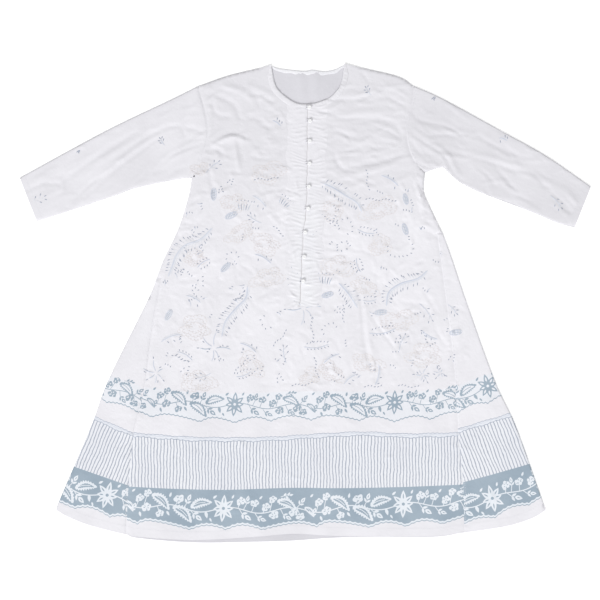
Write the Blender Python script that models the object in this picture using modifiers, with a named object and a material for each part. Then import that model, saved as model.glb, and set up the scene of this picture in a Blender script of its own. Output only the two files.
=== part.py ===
"""An embroidered dress with long sleeves, laid flat on its back with its front up.

Plus X is to the right as seen from above, plus Y the neck end, and plus Z up from the surface that it
lies on. Left and right below are as seen from above. Sizes are in millimetres, and meshes in metres.
"""

from collections import namedtuple
import math

import bmesh
import bpy
from mathutils import Vector
from mathutils.geometry import delaunay_2d_cdt

MM = 0.001

# Cloth walls, and the clearance between pieces
WALL = 1.2
GAP = 0.3
SEAM = GAP / 2
TOP_LAYER = WALL + GAP
FOLD_MIDDLE = WALL + GAP / 2

# Mesh spacing
OUTLINE_STEP = 16.0
GRID_STEP = 34.0
GRID_MARGIN = 9.0
ARMHOLE_STEP = 4.0
SIDE_STEP = 11.0
FOLD_STEP = 15.0
FOLD_MARGIN = 4.0

# Neck binding
BINDING_WIDTH = 8.5
BINDING_THICKNESS = 1.9
NECK_STEP = 8.0
BACK_BINDING_CLEAR = 14.0
BACK_BINDING_RAMP = 14.0

# Placket bands, with cross puckers
PLACKET_BOTTOM = -6.0
PLACKET_TOP_CLEARANCE = 1.2
PUCKERS = 52
PUCKER_RISE = 0.6
PUCKER_EDGE_SHARE = 0.35

# Buttons on shanks, and thread loops round the shanks
BUTTON_RADIUS = 3.2
BUTTON_HEAD_BOTTOM = 1.5
BUTTON_TOP = 2.9
SHANK_RADIUS = 1.0
BUTTON_FROM_SLIT = 3.7
BUTTON_STEPS = 12
LOOP_THREAD = 0.9
LOOP_TURN_RADIUS = 1.8
LOOP_REACH = 2.6
LOOP_POINTS = 6

# Rings of the sleeves and the gores
SLEEVE_STATIONS = 17
SLEEVE_SHARES = (0.03, 0.12, 0.25, 0.4, 0.55, 0.7, 0.85, 0.97)
GORE_STATIONS = 20
GORE_SHARES = (0.0, 0.25, 0.5, 0.75)
GORE_FOLD_REACH = 2.6

# Outlines, clockwise as seen from above
NECK_FRONT = [(-54, 381), (-48, 350), (-28, 326), (4, 318), (38, 328), (58, 352), (63, 383)]
NECK_BACK = [(-62, 378), (-38, 374.5), (4, 372.5), (46, 374), (71, 380)]
SHOULDER_RIGHT = [(93, 376), (150, 362)]
ARMHOLE_RIGHT = [(174, 347), (171, 320), (162, 285), (165, 250), (176, 225), (192, 209)]
SIDE_RIGHT = [(190, 180), (198, 158), (220, 112)]
GORE_SEAM_RIGHT = [(211, 112), (226, 0), (238, -100), (246, -218), (253, -286), (255, -367)]
GORE_SIDE_RIGHT = [(220, 112), (236, 68), (257, 5), (303, -123), (337, -197), (381, -320), (385, -331)]
GORE_HEM_RIGHT = [(255, -367), (299, -361), (334, -354), (366, -343), (385, -331)]
HEM_FRONT = [(206, -373), (104, -373), (38, -372), (-18, -369), (-82, -374), (-178, -379), (-266, -374)]
HEM_BACK = [(206, -374), (104, -374), (38, -376), (-18, -380), (-82, -382), (-178, -383), (-266, -376)]
GORE_SEAM_LEFT = [(-229, 40), (-245, -51), (-256, -133), (-274, -213), (-282, -293), (-286, -370)]
GORE_SIDE_LEFT = [(-237, 40), (-251, 5), (-314, -123), (-341, -195), (-391, -312), (-398, -331)]
GORE_HEM_LEFT = [(-286, -370), (-309, -365), (-349, -354), (-381, -341), (-398, -331)]
SIDE_LEFT = [(-237, 40), (-226, 69), (-202, 120), (-186, 171)]
ARMHOLE_LEFT = [(-181, 200), (-165, 232), (-155, 266), (-158, 300), (-166, 330), (-170, 347)]
SHOULDER_LEFT = [(-125, 363), (-72, 376)]

SLEEVE_TOP_RIGHT = [(174, 347), (221, 326), (316, 274), (386, 235), (457, 186)]
SLEEVE_CUFF_RIGHT = [(457, 186), (431, 121)]
SLEEVE_UNDER_RIGHT = [(192, 209), (220, 217), (230, 208), (264, 184), (362, 146), (402, 129), (431, 121)]
SLEEVE_TOP_LEFT = [(-170, 347), (-214, 325), (-320, 274), (-456, 200)]
SLEEVE_CUFF_LEFT = [(-456, 200), (-429, 131)]
SLEEVE_UNDER_LEFT = [(-181, 200), (-208, 197), (-270, 184), (-306, 171), (-381, 146), (-429, 131)]

# Slit between the placket bands, and the outer edges of the bands, from the neck down
SLIT = [(4, 318), (2.4, 165), (-3, 109), (-7, 21), (-9, PLACKET_BOTTOM)]
PLACKET_LEFT_EDGE = [(-28, 326), (-32, PLACKET_BOTTOM)]
PLACKET_RIGHT_EDGE = [(37, 328), (26, PLACKET_BOTTOM)]
BUTTON_HEIGHTS_Y = [313, 291, 259, 223, 186, 151, 113, 74, 35]

# Raised folds in the front layer: from a start over a bend to an end, with their rise and half width
Fold = namedtuple("Fold", "start_x start_y bend_x bend_y end_x end_y rise reach")
FOLD_TAPER = 0.6
FOLDS = [
    Fold(-256, 266, -298, 245, -346, 216, 3.0, 10),
    Fold(-230, 269, -290, 228, -355, 176, 4.0, 11),
    Fold(-157, 259, -224, 229, -246, 205, 3.5, 11),
    Fold(-400, 214, -420, 200, -444, 180, 2.0, 9),
    Fold(-135, 350, -104, 340, -78, 320, 3.5, 9),
    Fold(-96, 350, -70, 340, -44, 326, 2.5, 8),
    Fold(-150, 250, -125, 262, -95, 258, 3.0, 9),
    Fold(-111, 256, -112, 234, -108, 210, 2.0, 8),
    Fold(52, 325, 104, 334, 150, 354, 3.5, 9),
    Fold(52, 299, 90, 305, 140, 306, 2.5, 9),
    Fold(50, 272, 80, 258, 120, 262, 2.0, 9),
    Fold(56, 224, 104, 219, 150, 240, 3.5, 10),
    Fold(171, 275, 224, 235, 248, 193, 5.0, 11),
    Fold(176, 286, 240, 272, 300, 262, 3.0, 10),
    Fold(224, 245, 323, 222, 400, 186, 3.5, 11),
    Fold(262, 226, 285, 210, 303, 190, 2.5, 9),
    Fold(390, 190, 415, 180, 442, 160, 2.0, 9),
    Fold(180, 214, 184, 180, 190, 140, 3.0, 7),
    Fold(-150, 176, -185, 125, -214, 84, 2.5, 9),
    Fold(80, 45, 98, -40, 114, -135, 3.5, 12),
    Fold(180, 30, 200, 0, 218, -28, 2.0, 10),
    Fold(98, -14, 130, -50, 160, -92, 2.5, 11),
    Fold(-120, 20, -150, -40, -170, -110, 2.0, 12),
    Fold(-18, -290, -18, -360, -18, -430, 4.0, 26),
    Fold(-190, -280, -196, -350, -200, -430, 2.5, 28),
    Fold(140, -280, 146, -350, 150, -430, 2.5, 28),
]

CLOTH_COLOUR = (0.86, 0.86, 0.9, 1.0)
BINDING_COLOUR = (0.9, 0.9, 0.93, 1.0)
BUTTON_COLOUR = (0.93, 0.92, 0.9, 1.0)
CLOTH_ROUGHNESS = 0.85
BUTTON_ROUGHNESS = 0.3


def lengths_along(path):
    """The distance from the start to each point of a path."""
    total = [0.0]
    for before, after in zip(path, path[1:]):
        total.append(total[-1] + (after - before).length)
    return total


def point_at(path, share):
    """The point at a share of a path's length, from 0 to 1."""
    total = lengths_along(path)
    wanted = min(max(share, 0.0), 1.0) * total[-1]
    for i in range(1, len(path)):
        if wanted <= total[i] or i == len(path) - 1:
            part = (wanted - total[i - 1]) / (total[i] - total[i - 1])
            return path[i - 1].lerp(path[i], part)


def resampled(path, count):
    """The path with count points spread evenly over its length."""
    return [point_at(path, i / (count - 1)) for i in range(count)]


def smooth_path(corners, step):
    """A round curve through the corners, with a point about every step."""
    points = [Vector(c) for c in corners]
    ends = [2 * points[0] - points[1], *points, 2 * points[-1] - points[-2]]
    curve = []
    for a, b, c, d in zip(ends, ends[1:], ends[2:], ends[3:]):
        count = max(1, round((c - b).length / step))
        for i in range(count):
            t = i / count
            bend = (2 * a - 5 * b + 4 * c - d) * t**2 + (3 * b - a - 3 * c + d) * t**3
            curve.append(0.5 * (2 * b + (c - a) * t + bend))
    return [*curve, points[-1]]


def shifted(path, distance):
    """The path moved to its left by a distance, with mitred corners."""
    moved = []
    for i, point in enumerate(path):
        before = (point - path[max(i - 1, 0)]).normalized()
        after = (path[min(i + 1, len(path) - 1)] - point).normalized()
        direction = (before + after).normalized()
        normal = Vector((-direction.y, direction.x))
        spread = max(0.5, direction.dot(after if after.length else before))
        moved.append(point + normal * (distance / spread))
    return moved


def crossing_y(path, x):
    """The height in Y at which a path that runs along X passes x."""
    for before, after in zip(path, path[1:]):
        low, high = sorted((before.x, after.x))
        if low <= x <= high and high > low:
            return before.y + (after.y - before.y) * (x - before.x) / (after.x - before.x)


def fold_points(fold):
    return (
        Vector((fold.start_x, fold.start_y)),
        Vector((fold.bend_x, fold.bend_y)),
        Vector((fold.end_x, fold.end_y)),
    )


def rise_at(point):
    """How far the folds lift the front layer at a point."""
    lift = 0.0
    for fold in FOLDS:
        path = fold_points(fold)
        total = lengths_along(path)
        best = (fold.reach, 0.0)
        for i in range(2):
            run = path[i + 1] - path[i]
            part = min(max((point - path[i]).dot(run) / run.length_squared, 0.0), 1.0)
            away = (point - path[i].lerp(path[i + 1], part)).length
            best = min(best, (away, (total[i] + part * run.length) / total[-1]))
        away, share = best
        if away < fold.reach:
            taper = math.sin(math.pi * share) ** FOLD_TAPER
            lift += fold.rise * taper * math.cos(math.pi / 2 * away / fold.reach) ** 2
    return lift


def inside(point, outline):
    """Whether a point lies inside a closed outline."""
    crossed = False
    for a, b in zip(outline, outline[1:] + outline[:1]):
        if (a.y > point.y) != (b.y > point.y):
            if point.x < a.x + (b.x - a.x) * (point.y - a.y) / (b.y - a.y):
                crossed = not crossed
    return crossed


def clear_of(point, others, distance):
    return all((point - other).length > distance for other in others)


def fold_mesh_points(outline):
    """Points on the crest and the feet of each fold that crosses a panel."""
    found = []
    for fold in FOLDS:
        path = fold_points(fold)
        count = max(3, round(lengths_along(path)[-1] / FOLD_STEP))
        for side in (0, fold.reach, -fold.reach):
            for point in shifted(resampled(path, count), side):
                if inside(point, outline) and clear_of(point, outline, FOLD_MARGIN):
                    if clear_of(point, found, FOLD_MARGIN):
                        found.append(point)
    return found


def grid_mesh_points(outline, others):
    """A grid over the panel, clear of its outline and of the other points."""
    left = min(p.x for p in outline)
    right = max(p.x for p in outline)
    low = min(p.y for p in outline)
    high = max(p.y for p in outline)
    found = []
    for row in range(int((high - low) / GRID_STEP) + 1):
        for column in range(int((right - left) / GRID_STEP) + 1):
            shift = GRID_STEP / 2 * (row % 2)
            point = Vector((left + column * GRID_STEP + shift, low + row * GRID_STEP))
            if inside(point, outline) and clear_of(point, outline + others, GRID_MARGIN):
                found.append(point)
    return found


def material(name, colour, roughness):
    made = bpy.data.materials.new(name)
    made.use_nodes = True
    shader = made.node_tree.nodes["Principled BSDF"]
    shader.inputs["Base Color"].default_value = colour
    shader.inputs["Roughness"].default_value = roughness
    shader.inputs["Metallic"].default_value = 0.0
    return made


def add_object(collection, name, shape, colour, roughness):
    """One node, with a material of its own."""
    node = bpy.data.objects.new(name, shape)
    node.data.materials.append(material(name + "_finish", colour, roughness))
    collection.objects.link(node)
    return node


def add_mesh(collection, name, bm, colour=CLOTH_COLOUR, roughness=CLOTH_ROUGHNESS):
    bmesh.ops.recalc_face_normals(bm, faces=bm.faces)
    mesh = bpy.data.meshes.new(name)
    bm.to_mesh(mesh)
    bm.free()
    mesh.shade_smooth()
    mesh.set_sharp_from_angle(angle=math.radians(40))
    return add_object(collection, name, mesh, colour, roughness)


def panel(outline, inner_points, height):
    """A cloth panel: its outline and inner points as triangles, with a wall drawn straight up."""
    points = outline + inner_points
    loop = list(range(len(outline)))
    places, _, faces, _, _, _ = delaunay_2d_cdt(points, [], [loop], 1, 1e-4)
    bm = bmesh.new()
    verts = [bm.verts.new((p.x * MM, p.y * MM, height(p) * MM)) for p in places]
    for face in faces:
        bm.faces.new([verts[i] for i in face])
    layer = bm.faces[:] + bm.edges[:] + bm.verts[:]
    raised = bmesh.ops.extrude_face_region(bm, geom=layer, use_keep_orig=True)
    moved = [part for part in raised["geom"] if isinstance(part, bmesh.types.BMVert)]
    bmesh.ops.translate(bm, verts=moved, vec=(0, 0, WALL * MM))
    return bm


def loft(rings):
    """A closed body through rings of equal count, with a flat cap at each end."""
    bm = bmesh.new()
    rows = [[bm.verts.new(p * MM) for p in ring] for ring in rings]
    for row, following in zip(rows, rows[1:]):
        for i in range(len(row)):
            j = (i + 1) % len(row)
            bm.faces.new((row[i], row[j], following[j], following[i]))
    bm.faces.new(rows[0])
    bm.faces.new(rows[-1])
    return bm


def tube(outer_rings, inner_rings):
    """An open tube with a wall, from its outer and its inner rings."""
    bm = bmesh.new()
    outer = [[bm.verts.new(p * MM) for p in ring] for ring in outer_rings]
    inner = [[bm.verts.new(p * MM) for p in ring] for ring in inner_rings]
    strips = list(zip(outer, outer[1:])) + list(zip(inner, inner[1:]))
    strips += [(outer[0], inner[0]), (outer[-1], inner[-1])]
    for row, following in strips:
        for i in range(len(row)):
            j = (i + 1) % len(row)
            bm.faces.new((row[i], row[j], following[j], following[i]))
    return bm


def patch(start, end, first_side, second_side):
    """A surface between four edges: along runs from start to end, across from the first to the second side."""

    def place(along, across):
        sides = point_at(first_side, along).lerp(point_at(second_side, along), across)
        ends = point_at(start, across).lerp(point_at(end, across), along)
        corners = start[0].lerp(start[-1], across).lerp(end[0].lerp(end[-1], across), along)
        return sides + ends - corners

    return place


def raised(point, height):
    return Vector((point.x, point.y, height))


def panel_armhole(corners, distance):
    """An armhole with a point for each column of the sleeve's rings, moved off the seam."""
    curve = smooth_path(corners, ARMHOLE_STEP)
    shares = (0.0, *SLEEVE_SHARES, 1.0)
    return shifted([point_at(curve, share) for share in shares], distance)


def gore_seam(corners, distance):
    curve = smooth_path(corners, SIDE_STEP)
    return shifted(resampled(curve, GORE_STATIONS), distance)


def below_neck(collection):
    """The right and left edges that the front and back panels share, clockwise, without neck and hem."""
    right = smooth_path([*SHOULDER_RIGHT, ARMHOLE_RIGHT[0]], OUTLINE_STEP)[:-1]
    right += panel_armhole(ARMHOLE_RIGHT, -SEAM)
    right += smooth_path([ARMHOLE_RIGHT[-1], *SIDE_RIGHT], OUTLINE_STEP)[1:-1]
    right.append(Vector(SIDE_RIGHT[-1]) + Vector((0, GAP)))
    seam = gore_seam(GORE_SEAM_RIGHT, -SEAM)
    right += [seam[0] + Vector((0, GAP)), *seam[1:]]
    left = list(reversed(gore_seam(GORE_SEAM_LEFT, SEAM)))
    left[-1] += Vector((0, GAP))
    left.append(Vector(SIDE_LEFT[0]) + Vector((0, GAP)))
    left += smooth_path([*SIDE_LEFT, ARMHOLE_LEFT[0]], OUTLINE_STEP)[1:-1]
    left += panel_armhole(ARMHOLE_LEFT, -SEAM)
    left += smooth_path([ARMHOLE_LEFT[-1], *SHOULDER_LEFT], OUTLINE_STEP)[1:]
    return right, left


def hem_between(corners, right, left):
    return smooth_path([right[-1], *corners, left[0]], OUTLINE_STEP)[1:-1]


def neck_front():
    return smooth_path(NECK_FRONT, NECK_STEP)


def build_back_panel(collection):
    right, left = below_neck(collection)
    neck = shifted(smooth_path(NECK_BACK, NECK_STEP), -(BINDING_WIDTH + GAP))
    outline = neck + right + hem_between(HEM_BACK, right, left) + left
    outline.reverse()
    add_mesh(collection, "back_panel", panel(outline, [], lambda p: 0.0))


def placket_notch(neck):
    """The edge of the front panel round the placket bands, from the neck down, across and up."""
    left_top = Vector((PLACKET_LEFT_EDGE[0][0] - GAP, 0))
    left_top.y = crossing_y(neck, left_top.x)
    right_top = Vector((PLACKET_RIGHT_EDGE[0][0] + GAP, 0))
    right_top.y = crossing_y(neck, right_top.x)
    left_bottom = Vector((PLACKET_LEFT_EDGE[1][0] - GAP, PLACKET_BOTTOM - GAP))
    right_bottom = Vector((PLACKET_RIGHT_EDGE[1][0] + GAP, PLACKET_BOTTOM - GAP))
    count = round((left_top - left_bottom).length / OUTLINE_STEP)
    down = resampled([left_top, left_bottom], count)
    up = resampled([right_bottom, right_top], count)
    return down + up


def build_front_panel(collection):
    right, left = below_neck(collection)
    neck = shifted(neck_front(), -(BINDING_WIDTH + GAP))
    notch = placket_notch(neck)
    neck_left = [p for p in neck if p.x < notch[0].x - GAP]
    neck_right = [p for p in neck if p.x > notch[-1].x + GAP]
    outline = neck_left + notch + neck_right + right + hem_between(HEM_FRONT, right, left) + left
    outline.reverse()
    folds = fold_mesh_points(outline)
    points = folds + grid_mesh_points(outline, folds)
    add_mesh(collection, "front_panel", panel(outline, points, lambda p: TOP_LAYER + rise_at(p)))


def gore_ring(place, along):
    """One section of a gore: out over its front, round the side fold, back under, and in again inside."""
    width = (place(along, 1.0) - place(along, 0.0)).length
    fold_share = 1 - GORE_FOLD_REACH / width
    inner_fold = 1 - WALL / width
    inner_share = 1 - (GORE_FOLD_REACH + WALL) / width
    shares = [share * fold_share for share in GORE_SHARES]
    inner_shares = [share * inner_share for share in GORE_SHARES]
    ring = [(share, TOP_LAYER + WALL + rise_at(place(along, share))) for share in (*shares, fold_share)]
    ring.append((1.0, FOLD_MIDDLE))
    ring += [(fold_share, 0.0), (0.0, 0.0), (0.0, WALL), (inner_share, WALL)]
    ring.append((inner_fold, FOLD_MIDDLE))
    ring += [(s, TOP_LAYER + rise_at(place(along, s))) for s in (inner_share, *reversed(inner_shares))]
    return [raised(place(along, share), height) for share, height in ring]


def build_gore(collection, name, seam, side, hem, outward):
    """A side gore, folded at the side from its front seam to its back seam."""
    first = gore_seam(seam, outward * SEAM)
    second = smooth_path(side, SIDE_STEP)
    end = smooth_path(hem, SIDE_STEP)
    end[0] = first[-1]
    start = [first[0], second[0]]
    place = patch(start, end, first, second)
    rings = [gore_ring(place, i / (GORE_STATIONS - 1)) for i in range(GORE_STATIONS)]
    add_mesh(collection, name, loft(rings))


def build_sleeve(collection, name, armhole, top, under, cuff):
    """A sleeve laid flat: a tube from the armhole to the cuff, with folds in its upper layer."""
    start = list(armhole)
    first = smooth_path([armhole[0], *top[1:]], SIDE_STEP)
    second = smooth_path([armhole[-1], *under[1:]], SIDE_STEP)
    end = [Vector(c) for c in cuff]
    place = patch(start, end, first, second)
    outer_rings = []
    inner_rings = []
    for i in range(SLEEVE_STATIONS):
        along = i / (SLEEVE_STATIONS - 1)
        wall_share = WALL / (place(along, 1.0) - place(along, 0.0)).length
        outer = [(0.0, FOLD_MIDDLE)]
        outer += [(s, TOP_LAYER + WALL + rise_at(place(along, s))) for s in SLEEVE_SHARES]
        outer.append((1.0, FOLD_MIDDLE))
        outer += [(s, 0.0) for s in reversed(SLEEVE_SHARES)]
        squeezed = [wall_share + s * (1 - 2 * wall_share) for s in SLEEVE_SHARES]
        inner = [(wall_share, FOLD_MIDDLE)]
        inner += [(s, TOP_LAYER + rise_at(place(along, s))) for s in squeezed]
        inner.append((1 - wall_share, FOLD_MIDDLE))
        inner += [(s, WALL) for s in reversed(squeezed)]
        outer_rings.append([raised(place(along, s), z) for s, z in outer])
        inner_rings.append([raised(place(along, s), z) for s, z in inner])
    add_mesh(collection, name, tube(outer_rings, inner_rings))


def binding_rings(path, thickness, base):
    """Sections of a rounded tape that lies along a neck edge and is drawn inward from it."""
    inward = shifted(path, -BINDING_WIDTH)
    rings = []
    for edge, inner in zip(path, inward):
        thick = thickness(edge)
        low = base(edge.lerp(inner, 0.5))
        section = ((0.0, 0.0), (1.0, 0.0), (1.0, 0.8), (0.75, 1.0), (0.25, 1.0), (0.0, 0.7))
        rings.append([raised(edge.lerp(inner, share), low + part * thick) for share, part in section])
    return rings


def build_front_bindings(collection):
    """The front neck binding, parted at the slit."""
    neck = neck_front()
    slit_x = SLIT[0][0]
    left_end = Vector((slit_x - GAP, crossing_y(neck, slit_x - GAP)))
    right_end = Vector((slit_x + GAP, crossing_y(neck, slit_x + GAP)))
    left = [*[p for p in neck if p.x < slit_x - 1], left_end]
    right = [right_end, *[p for p in neck if p.x > slit_x + 1]]
    for name, path in (("neck_binding_left", left), ("neck_binding_right", right)):
        rings = binding_rings(path, lambda p: BINDING_THICKNESS, lambda p: TOP_LAYER + rise_at(p))
        add_mesh(collection, name, loft(rings), BINDING_COLOUR)


def build_back_binding(collection):
    """The back neck binding, as thin as the panel where the front binding lies over it."""
    path = smooth_path(NECK_BACK, NECK_STEP)
    clear_left = NECK_FRONT[0][0] + BACK_BINDING_CLEAR
    clear_right = NECK_FRONT[-1][0] - BACK_BINDING_CLEAR

    def thickness(p):
        share = min(p.x - clear_left, clear_right - p.x) / BACK_BINDING_RAMP
        return WALL + (BINDING_THICKNESS - WALL) * min(max(share, 0.0), 1.0)

    rings = binding_rings(path, thickness, lambda p: 0.0)
    add_mesh(collection, "neck_binding_back", loft(rings), BINDING_COLOUR)


def build_placket(collection, name, first_side, second_side):
    """A placket band between the neck binding and its foot, with puckers across its outer face."""
    neck = shifted(neck_front(), -(BINDING_WIDTH + GAP))
    across_top = [first_side[0].x, (first_side[0].x + second_side[0].x) / 2, second_side[0].x]
    start = [Vector((x, crossing_y(neck, x) - PLACKET_TOP_CLEARANCE)) for x in across_top]
    first = [start[0], *[p for p in first_side if p.y < start[0].y - 1]]
    second = [start[-1], *[p for p in second_side if p.y < start[-1].y - 1]]
    place = patch(start, [first[-1], second[-1]], first, second)
    stations = 2 * PUCKERS + 1
    rings = []
    for i in range(stations):
        crest = PUCKER_RISE * (i % 2)
        edge = TOP_LAYER + WALL + crest * PUCKER_EDGE_SHARE
        middle = TOP_LAYER + WALL + crest
        under = ((0.0, TOP_LAYER), (0.5, TOP_LAYER), (1.0, TOP_LAYER))
        section = (*under, (1.0, edge), (0.5, middle), (0.0, edge))
        rings.append([raised(place(i / (stations - 1), share), z) for share, z in section])
    add_mesh(collection, name, loft(rings), BINDING_COLOUR)


def slit_x_at(y):
    path = [Vector(p) for p in SLIT]
    for above, below in zip(path, path[1:]):
        if below.y <= y <= above.y:
            return above.x + (below.x - above.x) * (above.y - y) / (above.y - below.y)
    return path[0].x


def button_mesh():
    """The half profile of a small domed button on its shank, from the top down its outer side."""
    profile = [
        (0.0, BUTTON_TOP - 0.4),
        (BUTTON_RADIUS * 0.55, BUTTON_TOP - 0.3),
        (BUTTON_RADIUS * 0.8, BUTTON_TOP),
        (BUTTON_RADIUS, BUTTON_TOP - 0.6),
        (BUTTON_RADIUS * 0.85, BUTTON_HEAD_BOTTOM),
        (SHANK_RADIUS, BUTTON_HEAD_BOTTOM),
        (SHANK_RADIUS, 0.0),
        (0.0, 0.0),
    ]
    mesh = bpy.data.meshes.new("button_profile")
    points = [(r * MM, 0.0, z * MM) for r, z in profile]
    mesh.from_pydata(points, [(i, i + 1) for i in range(len(points) - 1)], [])
    return mesh


def build_buttons(collection):
    """Buttons on the right band beside the slit. The topmost sits on the neck binding."""
    ground = TOP_LAYER + BINDING_THICKNESS + GAP
    for number, y in enumerate(BUTTON_HEIGHTS_Y, start=1):
        x = slit_x_at(y) + BUTTON_FROM_SLIT
        name = f"button_{number}"
        node = add_object(collection, name, button_mesh(), BUTTON_COLOUR, BUTTON_ROUGHNESS)
        node.location = (x * MM, y * MM, ground * MM)
        screw = node.modifiers.new("turn", "SCREW")
        screw.steps = BUTTON_STEPS
        screw.render_steps = BUTTON_STEPS
        screw.use_merge_vertices = True
        screw.merge_threshold = 0.00001
        build_loop(collection, f"button_loop_{number}", x, y, ground)


def build_loop(collection, name, x, y, ground):
    """A thread loop from the left band round a button's shank."""
    height = ground + GAP + LOOP_THREAD / 2
    start_x = slit_x_at(y) - LOOP_REACH
    points = [(start_x, y + LOOP_TURN_RADIUS)]
    for i in range(LOOP_POINTS):
        turn = math.pi / 2 - math.pi * i / (LOOP_POINTS - 1)
        points.append((x + LOOP_TURN_RADIUS * math.cos(turn), y + LOOP_TURN_RADIUS * math.sin(turn)))
    points.append((start_x, y - LOOP_TURN_RADIUS))
    curve = bpy.data.curves.new(name, "CURVE")
    curve.dimensions = "3D"
    curve.bevel_depth = LOOP_THREAD / 2 * MM
    curve.bevel_resolution = 1
    curve.use_fill_caps = True
    spline = curve.splines.new("POLY")
    spline.points.add(len(points) - 1)
    for place, (px, py) in zip(spline.points, points):
        place.co = (px * MM, py * MM, height * MM, 1.0)
    add_object(collection, name, curve, BINDING_COLOUR, CLOTH_ROUGHNESS)


def main():
    for obj in list(bpy.data.objects):
        bpy.data.objects.remove(obj, do_unlink=True)
    collection = bpy.data.collections.new("embroidered_dress")
    bpy.context.scene.collection.children.link(collection)
    build_back_panel(collection)
    build_front_panel(collection)
    build_gore(collection, "gore_left", GORE_SEAM_LEFT, GORE_SIDE_LEFT, GORE_HEM_LEFT, -1)
    build_gore(collection, "gore_right", GORE_SEAM_RIGHT, GORE_SIDE_RIGHT, GORE_HEM_RIGHT, 1)
    right_armhole = panel_armhole(ARMHOLE_RIGHT, SEAM)
    left_armhole = list(reversed(panel_armhole(ARMHOLE_LEFT, SEAM)))
    right_edges = (SLEEVE_TOP_RIGHT, SLEEVE_UNDER_RIGHT, SLEEVE_CUFF_RIGHT)
    left_edges = (SLEEVE_TOP_LEFT, SLEEVE_UNDER_LEFT, SLEEVE_CUFF_LEFT)
    build_sleeve(collection, "sleeve_right", right_armhole, *right_edges)
    build_sleeve(collection, "sleeve_left", left_armhole, *left_edges)
    build_front_bindings(collection)
    build_back_binding(collection)
    slit = [Vector(p) for p in SLIT]
    left_edge = [Vector(p) for p in PLACKET_LEFT_EDGE]
    right_edge = [Vector(p) for p in PLACKET_RIGHT_EDGE]
    build_placket(collection, "placket_left", left_edge, [p - Vector((GAP, 0)) for p in slit])
    build_placket(collection, "placket_right", [p + Vector((GAP, 0)) for p in slit], right_edge)
    build_buttons(collection)


main()
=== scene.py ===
"""Looks of the embroidered dress, laid flat on its back: cloth, print, embroidery, bindings and buttons.

Plus X is to the right as seen from above, plus Y the neck end, plus Z up. Lengths are in millimetres
until a mesh is made, and a point on the cloth is a complex number, X plus Y times i.
"""

from collections import namedtuple
import math

import bpy
import numpy as np
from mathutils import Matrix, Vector
from mathutils.geometry import delaunay_2d_cdt


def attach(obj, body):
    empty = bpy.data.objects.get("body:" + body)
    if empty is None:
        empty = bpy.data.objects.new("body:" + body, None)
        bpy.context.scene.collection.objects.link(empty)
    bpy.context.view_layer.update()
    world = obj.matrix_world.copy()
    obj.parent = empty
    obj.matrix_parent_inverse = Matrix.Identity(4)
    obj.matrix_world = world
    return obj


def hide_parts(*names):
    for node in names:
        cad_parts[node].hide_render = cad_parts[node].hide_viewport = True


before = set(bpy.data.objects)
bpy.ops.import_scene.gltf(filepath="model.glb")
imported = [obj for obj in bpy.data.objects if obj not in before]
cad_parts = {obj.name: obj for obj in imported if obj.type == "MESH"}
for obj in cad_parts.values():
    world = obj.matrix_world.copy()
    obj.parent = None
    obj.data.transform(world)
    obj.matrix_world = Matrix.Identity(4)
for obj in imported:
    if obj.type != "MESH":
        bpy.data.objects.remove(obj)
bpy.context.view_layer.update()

MM = 0.001

# Heights of the layers
TOP = 2.7
DEEPEST_DIP = 0.9
MIDDLE = 1.35
BACK = 1.2
FLOOR_CLEARANCE = 0.1
RIM = 0.7
ROLL_RADIUS = 2.6

# Outlines, as in the solids
NECK_FRONT = [
    (-54, 381), (-49, 353), (-40, 338), (-17, 321), (4, 318), (24, 322), (44, 332), (58, 352), (63, 383)]
NECK_BACK = [
    (-62, 378), (-53, 379), (-40, 375), (-2, 371), (11, 373), (31, 370.5), (48, 373.5), (58, 378.5),
    (68, 381)]
SHOULDER_RIGHT = [(93, 376), (150, 362), (174, 347)]
ARMHOLE_RIGHT = [(174, 347), (171, 320), (162, 285), (165, 250), (176, 225), (192, 209)]
SIDE_RIGHT = [(192, 209), (190, 180), (198, 158), (220, 112)]
GORE_SEAM_RIGHT = [(211, 112), (226, 0), (238, -100), (246, -218), (253, -286), (255, -367)]
GORE_SIDE_RIGHT = [(220, 112), (236, 68), (257, 5), (303, -123), (337, -197), (381, -320), (385, -331)]
GORE_HEM_RIGHT = [(255, -367), (299, -361), (334, -354), (366, -343), (385, -331)]
HEM_FRONT = [
    (255, -367), (206, -373), (104, -373), (38, -372), (-18, -369), (-82, -374), (-178, -379), (-266, -374),
    (-286, -370)]
HEM_BACK = [
    (255, -367), (206, -374), (104, -374), (38, -376), (-18, -380), (-82, -382), (-178, -383), (-266, -376),
    (-286, -370)]
GORE_SEAM_LEFT = [(-229, 40), (-245, -51), (-256, -133), (-274, -213), (-282, -293), (-286, -370)]
GORE_SIDE_LEFT = [(-237, 40), (-251, 5), (-314, -123), (-341, -195), (-391, -312), (-398, -331)]
GORE_HEM_LEFT = [(-286, -370), (-309, -365), (-349, -354), (-381, -341), (-398, -331)]
SIDE_LEFT = [(-237, 40), (-226, 69), (-202, 120), (-186, 171), (-181, 200)]
ARMHOLE_LEFT = [(-181, 200), (-165, 232), (-155, 266), (-158, 300), (-166, 330), (-170, 347)]
SHOULDER_LEFT = [(-170, 347), (-125, 363), (-72, 376)]
SLEEVE_TOP_RIGHT = [(174, 347), (221, 326), (316, 274), (386, 235), (457, 186)]
SLEEVE_CUFF_RIGHT = [(457, 186), (431, 121)]
SLEEVE_UNDER_RIGHT = [(192, 209), (220, 217), (230, 208), (264, 184), (362, 146), (402, 129), (431, 121)]
SLEEVE_TOP_LEFT = [(-170, 347), (-214, 325), (-320, 274), (-456, 200)]
SLEEVE_CUFF_LEFT = [(-456, 200), (-429, 131)]
SLEEVE_UNDER_LEFT = [(-181, 200), (-208, 197), (-270, 184), (-306, 171), (-381, 146), (-429, 131)]
SLIT = [(4, 318), (2.4, 165), (-3, 109), (-7, 21), (-9, -6)]
PLACKET_LEFT_EDGE = [(-28, 326), (-32, -6)]
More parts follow.
